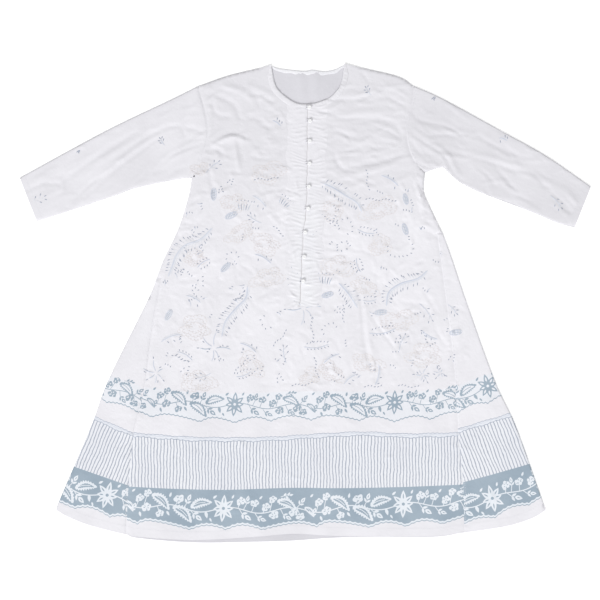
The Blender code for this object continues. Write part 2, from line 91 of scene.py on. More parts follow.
PLACKET_RIGHT_EDGE = [(37, 328), (26, -6)]
BUTTON_HEIGHTS_Y = [313, 291, 259, 223, 186, 151, 113, 74, 35]
BUTTON_FROM_SLIT = 3.7
BUTTON_GROUND = 3.7
SLIT_HALF = 0.6

# Mesh spacing. The grids' rows lie a share of a step apart and keep clear of an outline by another share.
EDGE_STEP = 4.0
FRONT_GRID = 3.2
SIDE_GRID = 3.4
BACK_GRID = 7.0
HIDDEN_GRID = 9.0
ROW_SPACING = 0.866
EDGE_CLEARANCE = 0.45

# Folds: start, bend and end, rise and half width, as in the solids
Fold = namedtuple("Fold", "start_x start_y bend_x bend_y end_x end_y rise reach")
FOLD_TAPER = 0.6
FOLD_SHOWN = 0.36
FOLD_STEP = 14
FOLDS = [Fold(*row) for row in (
    (-256, 266, -298, 245, -346, 216, 3.0, 10),
    (-230, 269, -290, 228, -355, 176, 4.0, 11),
    (-157, 259, -224, 229, -246, 205, 3.5, 11),
    (-400, 214, -420, 200, -444, 180, 2.0, 9),
    (-135, 350, -104, 340, -78, 320, 3.5, 9),
    (-96, 350, -70, 340, -44, 326, 2.5, 8),
    (-150, 250, -125, 262, -95, 258, 3.0, 9),
    (-111, 256, -112, 234, -108, 210, 2.0, 8),
    (52, 325, 104, 334, 150, 354, 3.5, 9),
    (52, 299, 90, 305, 140, 306, 2.5, 9),
    (50, 272, 80, 258, 120, 262, 2.0, 9),
    (56, 224, 104, 219, 150, 240, 3.5, 10),
    (171, 275, 224, 235, 248, 193, 5.0, 11),
    (176, 286, 240, 272, 300, 262, 3.0, 10),
    (224, 245, 323, 222, 400, 186, 3.5, 11),
    (262, 226, 285, 210, 303, 190, 2.5, 9),
    (390, 190, 415, 180, 442, 160, 2.0, 9),
    (180, 214, 184, 180, 190, 140, 3.0, 7),
    (-150, 176, -185, 125, -214, 84, 2.5, 9),
    (80, 45, 98, -40, 114, -135, 3.5, 12),
    (180, 30, 200, 0, 218, -28, 2.0, 10),
    (98, -14, 130, -50, 160, -92, 2.5, 11),
    (-120, 20, -150, -40, -170, -110, 2.0, 12),
    (-18, -290, -18, -360, -18, -430, 2.2, 26),
    (-190, -280, -196, -350, -200, -430, 1.2, 28),
    (140, -280, 146, -350, 150, -430, 1.2, 28),
)]

# Softer creases between the folds: ridges rise, hollows fall, and a skewed one is steeper on one side.
# Their strength goes by where they start along X: on the left sleeve, the bodice or the right sleeve.
SoftCrease = namedtuple("SoftCrease", "corners rise reach skew")
SOFT_PLACES = (-186, -185, 164, 168)
SOFT_STRENGTHS = (2.2, 1.7, 1.7, 1.15)
CREASE_STEP = 8
SOFT_CREASES = [SoftCrease(*row) for row in (
    ([(-266, 278), (-310, 250), (-358, 218), (-390, 192)], -0.9, 6, 0.3),
    ([(-227, 269), (-285, 230), (-330, 192), (-349, 173)], -1.1, 6, 0.3),
    ([(-157, 259), (-208, 240), (-234, 218), (-243, 205)], -1.0, 5, 0.3),
    ([(-160, 275), (-212, 284), (-262, 262), (-300, 236)], -0.9, 5, 0.3),
    ([(-300, 216), (-345, 190), (-372, 162)], -0.9, 5, 0.3),
    ([(-250, 252), (-270, 238), (-284, 226)], -0.6, 4, 0.3),
    ([(-410, 196), (-432, 186), (-448, 178)], -0.8, 4, 0.0),
    ([(-374, 205), (-380, 192), (-384, 179)], -0.7, 4, 0.0),
    ([(-416, 189), (-402, 192), (-390, 189)], -0.9, 4, 0.0),
    ([(-186, 300), (-196, 282), (-190, 262)], -0.6, 4, 0.0),
    ([(-150, 336), (-112, 314), (-106, 291)], -1.0, 6, 0.4),
    ([(-150, 326), (-141, 301), (-118, 298)], -1.1, 6, 0.0),
    ([(-150, 253), (-115, 267), (-86, 258)], 1.3, 5, -0.4),
    ([(-112, 256), (-109, 232), (-104, 208)], 0.9, 5, 0.3),
    ([(-157, 243), (-141, 246), (-128, 237)], -1.6, 6, 0.0),
    ([(-154, 218), (-150, 195), (-144, 173)], -1.0, 5, 0.0),
    ([(-96, 300), (-70, 290), (-52, 270)], -0.6, 5, 0.3),
    ([(-90, 236), (-66, 230), (-46, 236)], -0.6, 5, 0.3),
    ([(40, 326), (88, 326), (130, 346)], -1.0, 6, 0.3),
    ([(40, 294), (88, 294), (152, 288)], -0.9, 5, 0.3),
    ([(43, 278), (66, 269), (75, 256)], -0.7, 4, 0.0),
    ([(114, 282), (139, 272), (158, 259)], -0.8, 4, 0.0),
    ([(46, 243), (56, 218), (88, 208)], -1.0, 5, 0.0),
    ([(88, 372), (98, 360), (103, 350)], -0.6, 4, 0.0),
    ([(110, 300), (146, 284), (157, 262)], -0.7, 5, 0.0),
    ([(56, 214), (114, 224), (158, 237)], -1.6, 7, 0.3),
    ([(60, 205), (110, 212), (150, 226)], 0.9, 6, 0.0),
    ([(168, 315), (181, 293), (219, 283), (245, 274)], -0.8, 5, 0.3),
    ([(168, 277), (194, 267), (232, 269), (277, 264), (315, 245), (360, 229)], -1.0, 5, 0.3),
    ([(168, 272), (200, 251), (222, 235), (238, 206), (258, 190)], -1.8, 6, 0.3),
    ([(302, 222), (328, 190), (347, 171)], -0.9, 5, 0.0),
    ([(194, 232), (212, 222), (226, 214)], -0.8, 3, 0.0),
    ([(180, 240), (196, 228), (206, 218)], -0.8, 3, 0.0),
    ([(216, 246), (280, 230), (331, 214), (366, 205), (392, 176)], -1.3, 7, 0.3),
    ([(270, 222), (293, 203), (306, 184)], -1.2, 5, 0.0),
    ([(331, 173), (348, 168), (363, 160)], -0.6, 4, 0.0),
    ([(392, 178), (416, 158), (428, 141)], -1.0, 4, 0.0),
    ([(181, 198), (184, 186), (190, 173)], -1.8, 3, 0.0),
    ([(188, 186), (194, 166), (208, 138), (222, 112)], -0.7, 3, 0.0),
    ([(172, 206), (176, 190), (186, 166)], 1.4, 3, 0.0),
    ([(188, 160), (198, 130), (208, 108)], -0.6, 4, 0.0),
    ([(186, 205), (183, 178), (191, 150), (205, 120)], 0.6, 3, 0.0),
    ([(194, 150), (208, 118), (225, 82), (240, 40)], -0.5, 3, 0.0),
    ([(178, 214), (174, 196), (178, 180)], -0.6, 3, 0.0),
    ([(80, 38), (90, -6), (96, -66), (112, -128)], -1.4, 6, 0.3),
    ([(117, -93), (114, -115), (112, -128)], -1.0, 5, 0.0),
    ([(186, 24), (200, 2), (214, -21)], -0.9, 5, 0.3),
    ([(206, -35), (216, -55), (227, -72)], -0.8, 5, 0.3),
    ([(101, -14), (126, -50), (155, -86)], -0.9, 5, 0.3),
    ([(-155, 173), (-185, 125), (-224, 74)], -1.0, 5, 0.3),
)]

# Fine creases: where they lie, how many, which way they run, and their sizes with how far these vary
Crinkle = namedtuple("Crinkle", "left low right high count turn spread length rise reach")
CRINKLE_LENGTHS = (0.3, 1.0)
CRINKLE_BOW = 0.25
CRINKLE_RISES = (0.4, 1.6)
CRINKLE_SIGNS = (1, 1, -1)
CRINKLE_REACHES = (0.7, 1.4)
CRINKLE_SKEWS = (-0.4, 0.4)
CRINKLES = [Crinkle(*row) for row in (
    (-460, 120, -160, 330, 110, 29, 10, 55, 0.45, 4.0),
    (170, 110, 460, 340, 130, -26, 16, 50, 0.75, 4.0),
    (-165, 190, -30, 350, 90, 10, 35, 36, 0.55, 4.0),
    (30, 190, 165, 350, 90, -4, 24, 50, 0.6, 4.5),
    (-75, 0, -28, 310, 110, 4, 18, 30, 0.55, 2.6),
    (28, 0, 75, 310, 110, -4, 18, 30, 0.55, 2.6),
    (-260, -140, 260, 190, 620, 90, 80, 28, 0.6, 3.4),
    (-390, -360, 390, -130, 150, 70, 60, 40, 0.35, 5.0),
    (150, 120, 230, 240, 40, 95, 22, 30, 0.7, 2.6),
)]

# How bright a white surface comes out under the scene's light
LIGHT = 1.06


def tone(red, green, blue):
    """The surface colour that looks like this tone, from 0 to 255, under the scene's light."""
    def linear(value):
        share = value / 255
        return share / 12.92 if share < 0.04045 else ((share + 0.055) / 1.055) ** 2.4
    return (linear(red) / LIGHT, linear(green) / LIGHT, linear(blue) / LIGHT, 1.0)


# Paths

def smooth(corners, step):
    """A round curve through the corners, with a point about every step."""
    points = np.array([complex(x, y) for x, y in corners])
    ends = np.array([2 * points[0] - points[1], *points, 2 * points[-1] - points[-2]])
    curve = []
    for a, b, c, d in zip(ends, ends[1:], ends[2:], ends[3:]):
        count = max(1, round(abs(c - b) / step))
        t = np.arange(count) / count
        bend = (2 * a - 5 * b + 4 * c - d) * t**2 + (3 * b - a - 3 * c + d) * t**3
        curve.append(0.5 * (2 * b + (c - a) * t + bend))
    return np.concatenate([*curve, points[-1:]])


def distances(path):
    return np.concatenate([[0.0], np.cumsum(np.abs(np.diff(path)))])


def at(path, distance):
    """The points at distances along a path, drawn straight on past its ends."""
    total = distances(path)
    distance = np.asarray(distance, float)
    point = np.interp(distance, total, path.real) + 1j * np.interp(distance, total, path.imag)
    before = np.minimum(distance, 0.0) * unit(path[1] - path[0])
    after = np.maximum(distance - total[-1], 0.0) * unit(path[-1] - path[-2])
    return point + before + after


def unit(vector):
    return vector / np.maximum(np.abs(vector), 1e-9)


def evenly(path, step):
    total = distances(path)[-1]
    return at(path, np.linspace(0, total, max(2, round(total / step) + 1)))


def shifted(path, distance):
    """The path moved to its left."""
    direction = unit(np.gradient(path))
    return path + 1j * direction * distance


def nearest(points, path):
    """For each point, how far off a path it lies, plus to the left, and how far along."""
    best = np.full(len(points), np.inf)
    side = np.ones(len(points))
    along = np.zeros(len(points))
    total = 0.0
    for start, end in zip(path, path[1:]):
        run = end - start
        place = (points - start) / run
        share = np.clip(place.real, 0, 1)
        away = np.abs(place - share) * abs(run)
        closer = away < best
        best = np.where(closer, away, best)
        side = np.where(closer, np.sign(place.imag), side)
        along = np.where(closer, total + share * abs(run), along)
        total += abs(run)
    return best * side, along


def inside(points, outline):
    """Which points lie inside a closed outline."""
    crossed = np.zeros(len(points), bool)
    for a, b in zip(outline, np.roll(outline, -1)):
        if a.imag == b.imag:
            continue
        spans = (a.imag > points.imag) != (b.imag > points.imag)
        meets = a.real + (b.real - a.real) * (points.imag - a.imag) / (b.imag - a.imag)
        crossed ^= spans & (points.real < meets)
    return crossed


# Relief of the top layer

random = np.random.default_rng(2528)

Crease = namedtuple("Crease", "path length rise reach skew")
creases = []


def add_crease(corners, step, rise, reach, skew):
    path = smooth(corners, step)
    creases.append(Crease(path, distances(path)[-1], rise, reach, skew))


for fold in FOLDS:
    corners = [(fold.start_x, fold.start_y), (fold.bend_x, fold.bend_y), (fold.end_x, fold.end_y)]
    add_crease(corners, FOLD_STEP, fold.rise * FOLD_SHOWN, fold.reach, 0.0)
for row in SOFT_CREASES:
    strength = np.interp(row.corners[0][0], SOFT_PLACES, SOFT_STRENGTHS)
    add_crease(row.corners, CREASE_STEP, row.rise * strength, row.reach, row.skew)
for zone in CRINKLES:
    for _ in range(zone.count):
        middle = complex(random.uniform(zone.left, zone.right), random.uniform(zone.low, zone.high))
        turn = math.radians(zone.turn + random.normal(0, zone.spread))
        half = zone.length * random.uniform(*CRINKLE_LENGTHS) / 2
        bow = half * random.normal(0, CRINKLE_BOW)
        way = complex(math.cos(turn), math.sin(turn))
        ends = [middle - way * half, middle + way * 1j * bow, middle + way * half]
        rise = zone.rise * random.uniform(*CRINKLE_RISES) * random.choice(CRINKLE_SIGNS)
        reach = zone.reach * random.uniform(*CRINKLE_REACHES)
        skew = random.uniform(*CRINKLE_SKEWS)
        add_crease([(p.real, p.imag) for p in ends], CREASE_STEP, rise, reach, skew)


def crease_relief(points):
    """The lift of all creases, worked out over the points in order of X."""
    order = np.argsort(points.real)
    ordered = points[order]
    lift = np.zeros(len(points))
    for crease in creases:
        reach = crease.reach * (1 + abs(crease.skew))
        low = np.searchsorted(ordered.real, crease.path.real.min() - reach)
        high = np.searchsorted(ordered.real, crease.path.real.max() + reach)
        if low == high:
            continue
        up = ordered[low:high].imag
        in_reach = (up > crease.path.imag.min() - reach) & (up < crease.path.imag.max() + reach)
        near = low + np.flatnonzero(in_reach)
        if not len(near):
            continue
        away, along = nearest(ordered[near], crease.path)
        share = np.clip(along / crease.length, 0, 1)
        width = crease.reach * (1 + crease.skew * np.sign(away))
        profile = np.cos(np.pi / 2 * np.clip(np.abs(away) / width, 0, 1)) ** 2
        lift[near] += crease.rise * np.sin(np.pi * share) ** FOLD_TAPER * profile
    unordered = np.empty(len(points))
    unordered[order] = lift
    return unordered


SEAM_DEPTH = 0.9
SEAM_REACH = 2.2
SEAM_PUCKER = 0.3
SEAM_PUCKER_REACH = 7.0
SEAM_PUCKER_PITCH = 7.5
SEAM_DRIFT = 2.0
SEAM_DRIFT_LENGTH = 17.0
SEAMS = [smooth(path, EDGE_STEP) for path in (ARMHOLE_RIGHT, ARMHOLE_LEFT, GORE_SEAM_RIGHT, GORE_SEAM_LEFT)]


def seam_relief(points):
    """Sewn seams: a narrow groove with small uneven puckers beside it."""
    lift = np.zeros(len(points))
    for path in SEAMS:
        away, along = nearest(points, path)
        groove = -SEAM_DEPTH * np.exp(-((away / SEAM_REACH) ** 2))
        drifted = along + SEAM_DRIFT * np.sin(along / SEAM_DRIFT_LENGTH)
        wave = np.sin(2 * np.pi * drifted / SEAM_PUCKER_PITCH)
        pucker = SEAM_PUCKER * wave * np.exp(-((away / SEAM_PUCKER_REACH) ** 2))
        lift += groove + pucker
    return lift


def top_height(points):
    """The height of the top layer's outer face."""
    points = np.asarray(points, complex)
    lift = crease_relief(points) + seam_relief(points)
    return np.maximum(TOP + lift, TOP - DEEPEST_DIP)


def roll(points, edges):
    """From 0 at a folded edge to 1 past its round."""
    share = np.ones(len(points))
    for fold in edges:
        away = np.abs(nearest(points, fold)[0]) / ROLL_RADIUS
        share = np.minimum(share, np.sqrt(1 - (1 - np.minimum(away, 1)) ** 2))
    return share


# Print

# Slots of the skirt's materials, in the order of SKIRT_MATERIALS; the last is painted shadow along the slit
CLOTH, STRIPES, BLUE, WHITE, PALE, LINE, GROUND, PALE_LINE, SLIT_SHADOW = range(9)
Shape = namedtuple("Shape", "slot points")


def ribbon(slot, path, width):
    """A line of some width as a closed shape."""
    return Shape(slot, np.concatenate([shifted(path, width / 2), shifted(path, -width / 2)[::-1]]))


def band(slot, above, below):
    return Shape(slot, np.concatenate([above, below[::-1]]))


def edging(slot, path, width):
    """A line of even height under a path that runs to the right."""
    return band(slot, path, path - 1j * width)


# Where in a repeat the lobes are highest and lowest
Lobes = namedtuple("Lobes", "tops bottoms")
LOBE_STEP = 0.8


def lobed(path, start, repeat, lobes, depth, scallop, scallop_depth):
    """A band's lower edge: round tops, pointed lobes and small scallops all along."""
    path = evenly(path, LOBE_STEP)
    along = distances(path)
    knots = [(top + turn, 0.0) for top in lobes.tops for turn in (-1, 0, 1)]
    knots += [(bottom + turn, 1.0) for bottom in lobes.bottoms for turn in (-1, 0, 1)]
    places, levels = zip(*sorted(knots))
    level = np.interp(((along - start) / repeat) % 1.0, places, levels)
    fall = depth * (1 - np.cos(np.pi / 2 * level)) + scallop_depth * np.abs(np.sin(np.pi * along / scallop))
    return path - 1j * fall


# How flowers are printed: the slots of a shape and of what is left open in it, how wide these openings are
# as a share of a petal and a leaf, and the vine's width
Style = namedtuple("Style", "body inner petal_inner leaf_inner vine_width")
ON_BLUE = Style(WHITE, BLUE, 0.3, 0.42, 1.7)
ON_WHITE = Style(BLUE, GROUND, 0.5, 0.6, 1.2)
STEM_SHARE = 0.7


def petal(length, width, points=6):
    """A pointed petal from the origin along plus X."""
    t = np.linspace(0, 1, points + 1)
    half = width / 2 * np.sin(np.pi * t**0.8) ** 0.9
    x = length * t
    return np.concatenate([x + 1j * half, (x - 1j * half)[-2:0:-1]])


def turned(shape, angle, place):
    return shape * np.exp(1j * angle) + place


def circle(radius, count=12):
    return radius * np.exp(1j * np.linspace(0, 2 * np.pi, count, endpoint=False))


def star(style, size, turn):
    """A flower of eight pointed petals round a small eye, taller than it is wide."""
    ways = [turn + i * np.pi / 4 + 0.1 * math.sin(5 * i) for i in range(8)]
    lengths = [size * (0.76 + 0.3 * abs(math.sin(way))) for way in ways]
    petals = list(zip(ways, lengths))
    shapes = [Shape(style.body, turned(petal(length, size * 0.42), way, 0)) for way, length in petals]
    for way, length in petals:
        vein = petal(length * 0.42, size * style.petal_inner * 0.32, 4)
        shapes.append(Shape(style.inner, turned(vein, way, length * 0.36 * np.exp(1j * way))))
    return [*shapes, Shape(style.body, circle(size * 0.21)), Shape(style.inner, circle(size * 0.12))]


def leaf(style, size, turn):
    """A serrated leaf, open inside, with a vein."""
    t = np.linspace(0, 1, 19)
    tooth = np.where(np.arange(19) % 2, 1, -1)
    half = size * 0.2 * np.sin(np.pi * t**0.8) ** 0.7
    bend = 1j * size * 0.1 * np.sin(np.pi * t)
    x = size * t + bend
    upper = x + 1j * half * (1 + 0.2 * tooth)
    lower = x - 1j * half * (1 + 0.2 * tooth)
    outer = np.concatenate([upper, lower[-2:0:-1]])
    inner_half = half * style.leaf_inner * (1 + 0.2 * tooth)
    inner_x = size * (0.5 + (t - 0.5) * 0.72) + bend
    inner = np.concatenate([inner_x + 1j * inner_half, (inner_x - 1j * inner_half)[-2:0:-1]])
    vein = ribbon(style.body, size * np.linspace(0.1, 0.7, 6) + bend[[2, 4, 7, 10, 12, 14]], size * 0.03)
    return [Shape(style.body, turned(outer, turn, 0)), Shape(style.inner, turned(inner, turn, 0)),
            Shape(style.body, turned(vein.points, turn, 0))]


def blossom(style, size, turn):
    """A small blossom of uneven lobes with cuts between them."""
    angle = np.linspace(0, 2 * np.pi, 25, endpoint=False)
    uneven = 0.13 * np.sin(2 * angle + 3 * turn) + 0.07 * np.sin(3 * angle + 7 * turn + size)
    rim = size * (0.7 + 0.26 * np.abs(np.cos(2.5 * angle)) + uneven) * np.exp(1j * (angle + turn))
    shapes = [Shape(style.body, rim)]
    for i in range(5):
        way = turn + (i + 0.5 + 0.3 * math.sin(3 * i + 9 * turn)) * 2 * np.pi / 5
        length = size * (0.5 + 0.2 * math.sin(2 * i + 5 * turn))
        cut = petal(length, size * style.petal_inner * 0.55, 3)
        shapes.append(Shape(style.inner, turned(cut, way, size * 0.2 * np.exp(1j * way))))
    return shapes


def bud(style, size, turn):
    """A bud on a short stem between two small leaves."""
    head = turned(petal(size * 0.75, size * 0.42), turn, size * 0.3 * np.exp(1j * turn))
    shapes = [Shape(style.body, head)]
    for side in (-1, 1):
        way = turn + side * 0.75
        shapes.append(Shape(style.body, turned(petal(size * 0.55, size * 0.24, 4), way, 0)))
    mark = turned(petal(size * 0.35, size * style.petal_inner * 0.3, 3), turn, size * 0.5 * np.exp(1j * turn))
    return [*shapes, Shape(style.inner, mark)]


def sprig(style, size, turn):
    """A thin stem with small leaves on both sides."""
    stem = np.linspace(0, size, 6) * np.exp(1j * 0.15)
    shapes = [ribbon(style.body, turned(stem, turn, 0), style.vine_width * STEM_SHARE)]
    for share, side in ((0.35, 1), (0.55, -1), (0.8, 1)):
        small = turned(petal(size * 0.5, size * 0.24, 4), side * 0.8, size * share)
        shapes.append(Shape(style.body, turned(small, turn, 0)))
    tip = turned(petal(size * 0.5, size * 0.24, 4), 0.15, size)
    return [*shapes, Shape(style.body, turned(tip, turn, 0))]


def drop(style, size, turn):
    """A single small petal."""
    return [Shape(style.body, turned(petal(size, size * 0.45, 4), turn, -size / 2 * np.exp(1j * turn)))]


KINDS = {"star": star, "leaf": leaf, "blossom": blossom, "bud": bud, "sprig": sprig, "drop": drop}

# One repeat of the flower bands: how far along and above the middle, size and turn in degrees
Motif = namedtuple("Motif", "kind along above size turn")
REPEAT = 288.0
FLOWERS = [Motif(*row) for row in (
    ("star", 0, 2, 21, 0),
    ("drop", 15, 21, 7.5, 60),
    ("blossom", 28, 14, 7.6, 20),
    ("bud", 37, 10, 13, 76),
    ("bud", 30, -6, 17, -35),
    ("blossom", 50, 11, 7.0, 70),
    ("drop", 60, 20, 7.5, 48),
    ("bud", 55, -12, 14, -22),
    ("blossom", 68, 5, 7.4, 0),
    ("blossom", 81, -8, 7.8, 40),
    ("blossom", 79, 17, 6.6, 10),
    ("leaf", 86, 15, 34, -24),
    ("sprig", 92, 21, 14, 8),
    ("bud", 96, -8, 14, -30),
    ("blossom", 112, -4, 7.6, 30),
    ("blossom", 123, -11, 7.0, 55),
    ("bud", 122, 8, 14, 50),
    ("leaf", 130, 4, 22, -48),
    ("drop", 142, 22, 7.5, 45),
    ("bud", 142, -10, 13, 66),
    ("blossom", 153, 11, 7.2, 15),
    ("blossom", 165, 20, 6.8, 0),
    ("blossom", 165, -3, 8.0, 25),
    ("drop", 156, -15, 9, -70),
    ("leaf", 172, 19, 38, -38),
    ("blossom", 187, -11, 6.8, 30),
    ("drop", 202, 20, 8.5, 75),
    ("drop", 200, -10, 9, -55),
    ("leaf", 207, 2, 40, -38),
    ("blossom", 216, 14, 8.4, 50),
    ("bud", 229, 8, 15, 68),
    ("leaf", 235, 2, 36, 15),
    ("bud", 240, -8, 17, -36),
    ("drop", 261, -9, 12, -75),
    ("drop", 274, 20, 8.5, 40),
    ("drop", 268, -17, 7, -60),
)]
VINE_SWING = 4.5
VINE_WAVES = 3
VINE_PHASE = 0.9
VINE_DROP = 0.5
VINE_STEP = 3.0
VINE_PAST_END = 20
MOTIF_PAST_END = 25
STEMMED = ("blossom", "bud")
STEM_LEAN = 5.0


def vine_at(along):
    """How far the vine lies above the band's middle."""
    return VINE_SWING * np.sin(2 * np.pi * along * VINE_WAVES / REPEAT + VINE_PHASE) - VINE_DROP


def flower_band(path, start, scale, style):
    """Flowers along a path: where the first repeat starts, and how large it is."""
    def placed(points):
        base = at(path, points.real)
        way = unit(at(path, points.real + 1) - at(path, points.real - 1))
        return base + 1j * way * points.imag

    length = distances(path)[-1]
    shapes = []
    first = math.floor(-start / (REPEAT * scale)) - 1
    last = math.ceil((length - start) / (REPEAT * scale)) + 1
    vine = np.arange(-VINE_PAST_END, length + VINE_PAST_END, VINE_STEP)
    vine = vine + 1j * vine_at((vine - start) / scale) * scale
    shapes.append(ribbon(style.body, placed(vine), style.vine_width))
    for number in range(first, last):
        for motif in FLOWERS:
            along = start + (motif.along + number * REPEAT) * scale
            if not -MOTIF_PAST_END < along < length + MOTIF_PAST_END:
                continue
            above = motif.above * scale
            if motif.kind in STEMMED:
                root = along - STEM_LEAN * scale
                stem = np.linspace(root + 1j * vine_at((root - start) / scale) * scale, along + 1j * above, 4)
                shapes.append(ribbon(style.body, placed(stem), style.vine_width * STEM_SHARE))
            for shape in KINDS[motif.kind](style, motif.size * scale, math.radians(motif.turn)):
                shapes.append(Shape(shape.slot, placed(shape.points + along + 1j * above)))
    return shapes


CURVE_DEGREE = 3
CURVE_STEP = 6.0


def even_curve(corners, above):
    """A plain round curve a little above the corners, for flowers to follow."""
    places = np.array(corners, float)
    fit = np.polyfit(places[:, 0], places[:, 1], min(CURVE_DEGREE, len(corners) - 2))
    x = np.arange(places[0, 0], places[-1, 0], CURVE_STEP)
    return x + 1j * (np.polyval(fit, x) + above)


# Band lines of each skirt piece, from left to right, and where along the flower bands a repeat starts
Bands = namedtuple("Bands", "upper lace stripes_foot lower upper_start lower_start")
BANDS = {
    "gore_left": Bands(
        [(-345, -138), (-322, -148.8), (-296, -160), (-262, -172)],
        [(-350, -178), (-334, -185), (-305, -198), (-268, -213)],
        [(-400, -251), (-367, -262.4), (-325, -277), (-276, -294)],
        [(-410, -305), (-391, -312.8), (-344, -324.8), (-304.5, -334.4), (-278, -342)],
        -28, 97,
    ),
    "front": Bands(
        [(-280, -169), (-224, -176.8), (-168, -181.6), (-112, -183.2), (-54, -180.8), (11, -179.2),
         (94, -180), (149, -181.6), (205, -177.6), (255, -171)],
        [(-285, -209.5), (-230, -214), (-168, -217.6), (-66, -217.6), (24, -212), (95, -209), (155, -212),
         (232, -210.4), (258, -209)],
        [(-292, -293), (-210, -297), (-125, -298.6), (-24, -295.5), (60, -296), (155, -294.1), (235, -291),
         (264, -289)],
        [(-296, -340), (-265, -344), (-179, -352.8), (-122, -352.8), (-66, -352.8), (24, -348), (107, -348.8),
         (167, -347.2), (227, -342.4), (264, -337)],
        168, 166,
    ),
    "gore_right": Bands(
        [(236, -171), (254, -167), (277.6, -156.8), (313.6, -145.6), (340, -137)],
        [(236, -207), (254, -201.5), (285, -192), (328, -179.2), (350, -172)],
        [(244, -289), (253.8, -286.4), (300, -274), (352, -259.2), (380, -251)],
        [(246, -343), (260.8, -345.6), (313.6, -330.4), (372.8, -307.2), (400, -297)],
        60, 55,
    ),
}
UPPER_SCALE = 256 / REPEAT
UPPER_LOBES = Lobes((0.128, 0.347, 0.584, 0.869), (0.0, 0.225, 0.481, 0.784))
LOWER_LOBES = Lobes((0.108, 0.406, 0.588, 0.911), (0.016, 0.217, 0.52, 0.815))
LACE_LOBES = Lobes((0.0, 0.3, 0.65), (0.15, 0.5, 0.85))
LOWER_FLOWERS_UP = 22.0
UPPER_FLOWERS_UP = 18.0
UPPER_GROUND_UP = 38.0
STRIPES_UNDER_LACE = 2.0
WHITE_EDGING = 2.8
STRIPE_PITCH = 5.1

# Wavy lines: how far above the band's line, where a repeat starts and how long it is, its lobes and their
# depth, and the scallops' pitch and depth
Wavy = namedtuple("Wavy", "above start repeat lobes depth scallop scallop_depth")
LACE_LINES = [
    Wavy(4.4, 10, 130, LACE_LOBES, 1.2, 7.0, 0.9),
    Wavy(1.8, 40, 90, LACE_LOBES, 1.0, 5.0, 0.7),
    Wavy(-0.8, 30, 150, LACE_LOBES, 2.0, 9.0, 1.2),
]


def wavy(path, line):
    return lobed(path + 1j * line.above, *line[1:])


def skirt_print(piece):
    """The print of one skirt piece, from the ground shapes to what lies on them, and the ground alone."""
    lines = BANDS[piece]
    upper, lace_path, foot, lower = [edge(line) for line in lines[:4]]
    upper_edge = wavy(upper, Wavy(1.5, lines.upper_start, REPEAT * UPPER_SCALE, UPPER_LOBES, 7.5, 7.0, 1.7))
    lower_edge = wavy(lower, Wavy(2.5, lines.lower_start, REPEAT, LOWER_LOBES, 7.5, 8.2, 1.6))
    lace_top, lace_middle, lace_foot = [wavy(lace_path, line) for line in LACE_LINES]
    shapes = [
        band(GROUND, upper + 1j * UPPER_GROUND_UP, upper_edge),
        band(STRIPES, lace_path - 1j * STRIPES_UNDER_LACE, foot),
        band(PALE, lace_top, lace_foot),
        edging(LINE, lace_top, 1.0),
        edging(PALE_LINE, lace_middle, 0.7),
        edging(LINE, lace_foot, 1.1),
        band(BLUE, foot, lower_edge),
        edging(WHITE, lower_edge, WHITE_EDGING),
        edging(BLUE, lower_edge - 1j * WHITE_EDGING, 1.3),
        edging(BLUE, upper_edge, 1.6),
    ]
    ground = len(shapes)
    shapes += flower_band(even_curve(lines.lower, LOWER_FLOWERS_UP), lines.lower_start, 1.0, ON_BLUE)
    shapes += flower_band(even_curve(lines.upper, UPPER_FLOWERS_UP), lines.upper_start, UPPER_SCALE, ON_WHITE)
    return shapes, shapes[:ground]


# Cloth meshes

def grid_points(outline, step):
    """An even grid of points inside an outline, clear of its edge."""
    across = np.arange(outline.real.min(), outline.real.max(), step)
    up = np.arange(outline.imag.min(), outline.imag.max(), step * ROW_SPACING)
    x, y = np.meshgrid(across, up)
    x[1::2] += step / 2
    points = (x + 1j * y).ravel()
    points = points[inside(points, outline)]
    closed = np.append(outline, outline[0])
    return points[np.abs(nearest(points, closed)[0]) > EDGE_CLEARANCE * step]


CDT_INSIDE = 1
CDT_TOLERANCE = 1e-3


def triangulated(outline, extra, shapes):
    """Triangles over an outline, each with the slot of the last shape that covers it."""
    rings = [anticlockwise(ring) for ring in (outline, *[shape.points for shape in shapes])]
    ring_slots = [CLOTH, *[shape.slot for shape in shapes]]
    faces = []
    count = 0
    for ring in rings:
        faces.append(list(range(count, count + len(ring))))
        count += len(ring)
    points = np.concatenate([*rings, extra])
    vectors = [Vector((p.real, p.imag)) for p in points]
    places, _, triangles, _, _, covers = delaunay_2d_cdt(vectors, [], faces, CDT_INSIDE, CDT_TOLERANCE)
    kept = [i for i, cover in enumerate(covers) if 0 in cover]
    triangles = np.array([triangles[i] for i in kept])
    slots = np.array([ring_slots[max(covers[i])] for i in kept])
    used, triangles = np.unique(triangles, return_inverse=True)
    places = np.array([complex(p.x, p.y) for p in places])[used]
    return places, triangles.reshape(-1, 3), slots


def new_object(name, vertices, faces, materials, slots=None):
    """A mesh object from vertices in millimetres."""
    mesh = bpy.data.meshes.new(name)
    mesh.from_pydata([tuple(v) for v in np.asarray(vertices) * MM], [], [list(f) for f in faces])
    for material in materials:
        mesh.materials.append(material)
    if slots is not None:
        mesh.polygons.foreach_set("material_index", np.asarray(slots, np.int32))
    mesh.update()
    obj = bpy.data.objects.new(name, mesh)
    bpy.context.scene.collection.objects.link(obj)
    return obj


def open_edges(triangles):
    """The edges that only one triangle has, in its own direction."""
    pairs = np.concatenate([triangles[:, [0, 1]], triangles[:, [1, 2]], triangles[:, [2, 0]]])
    _, same, counts = np.unique(np.sort(pairs, axis=1), axis=0, return_inverse=True, return_counts=True)
    return pairs[counts[same.ravel()] == 1]


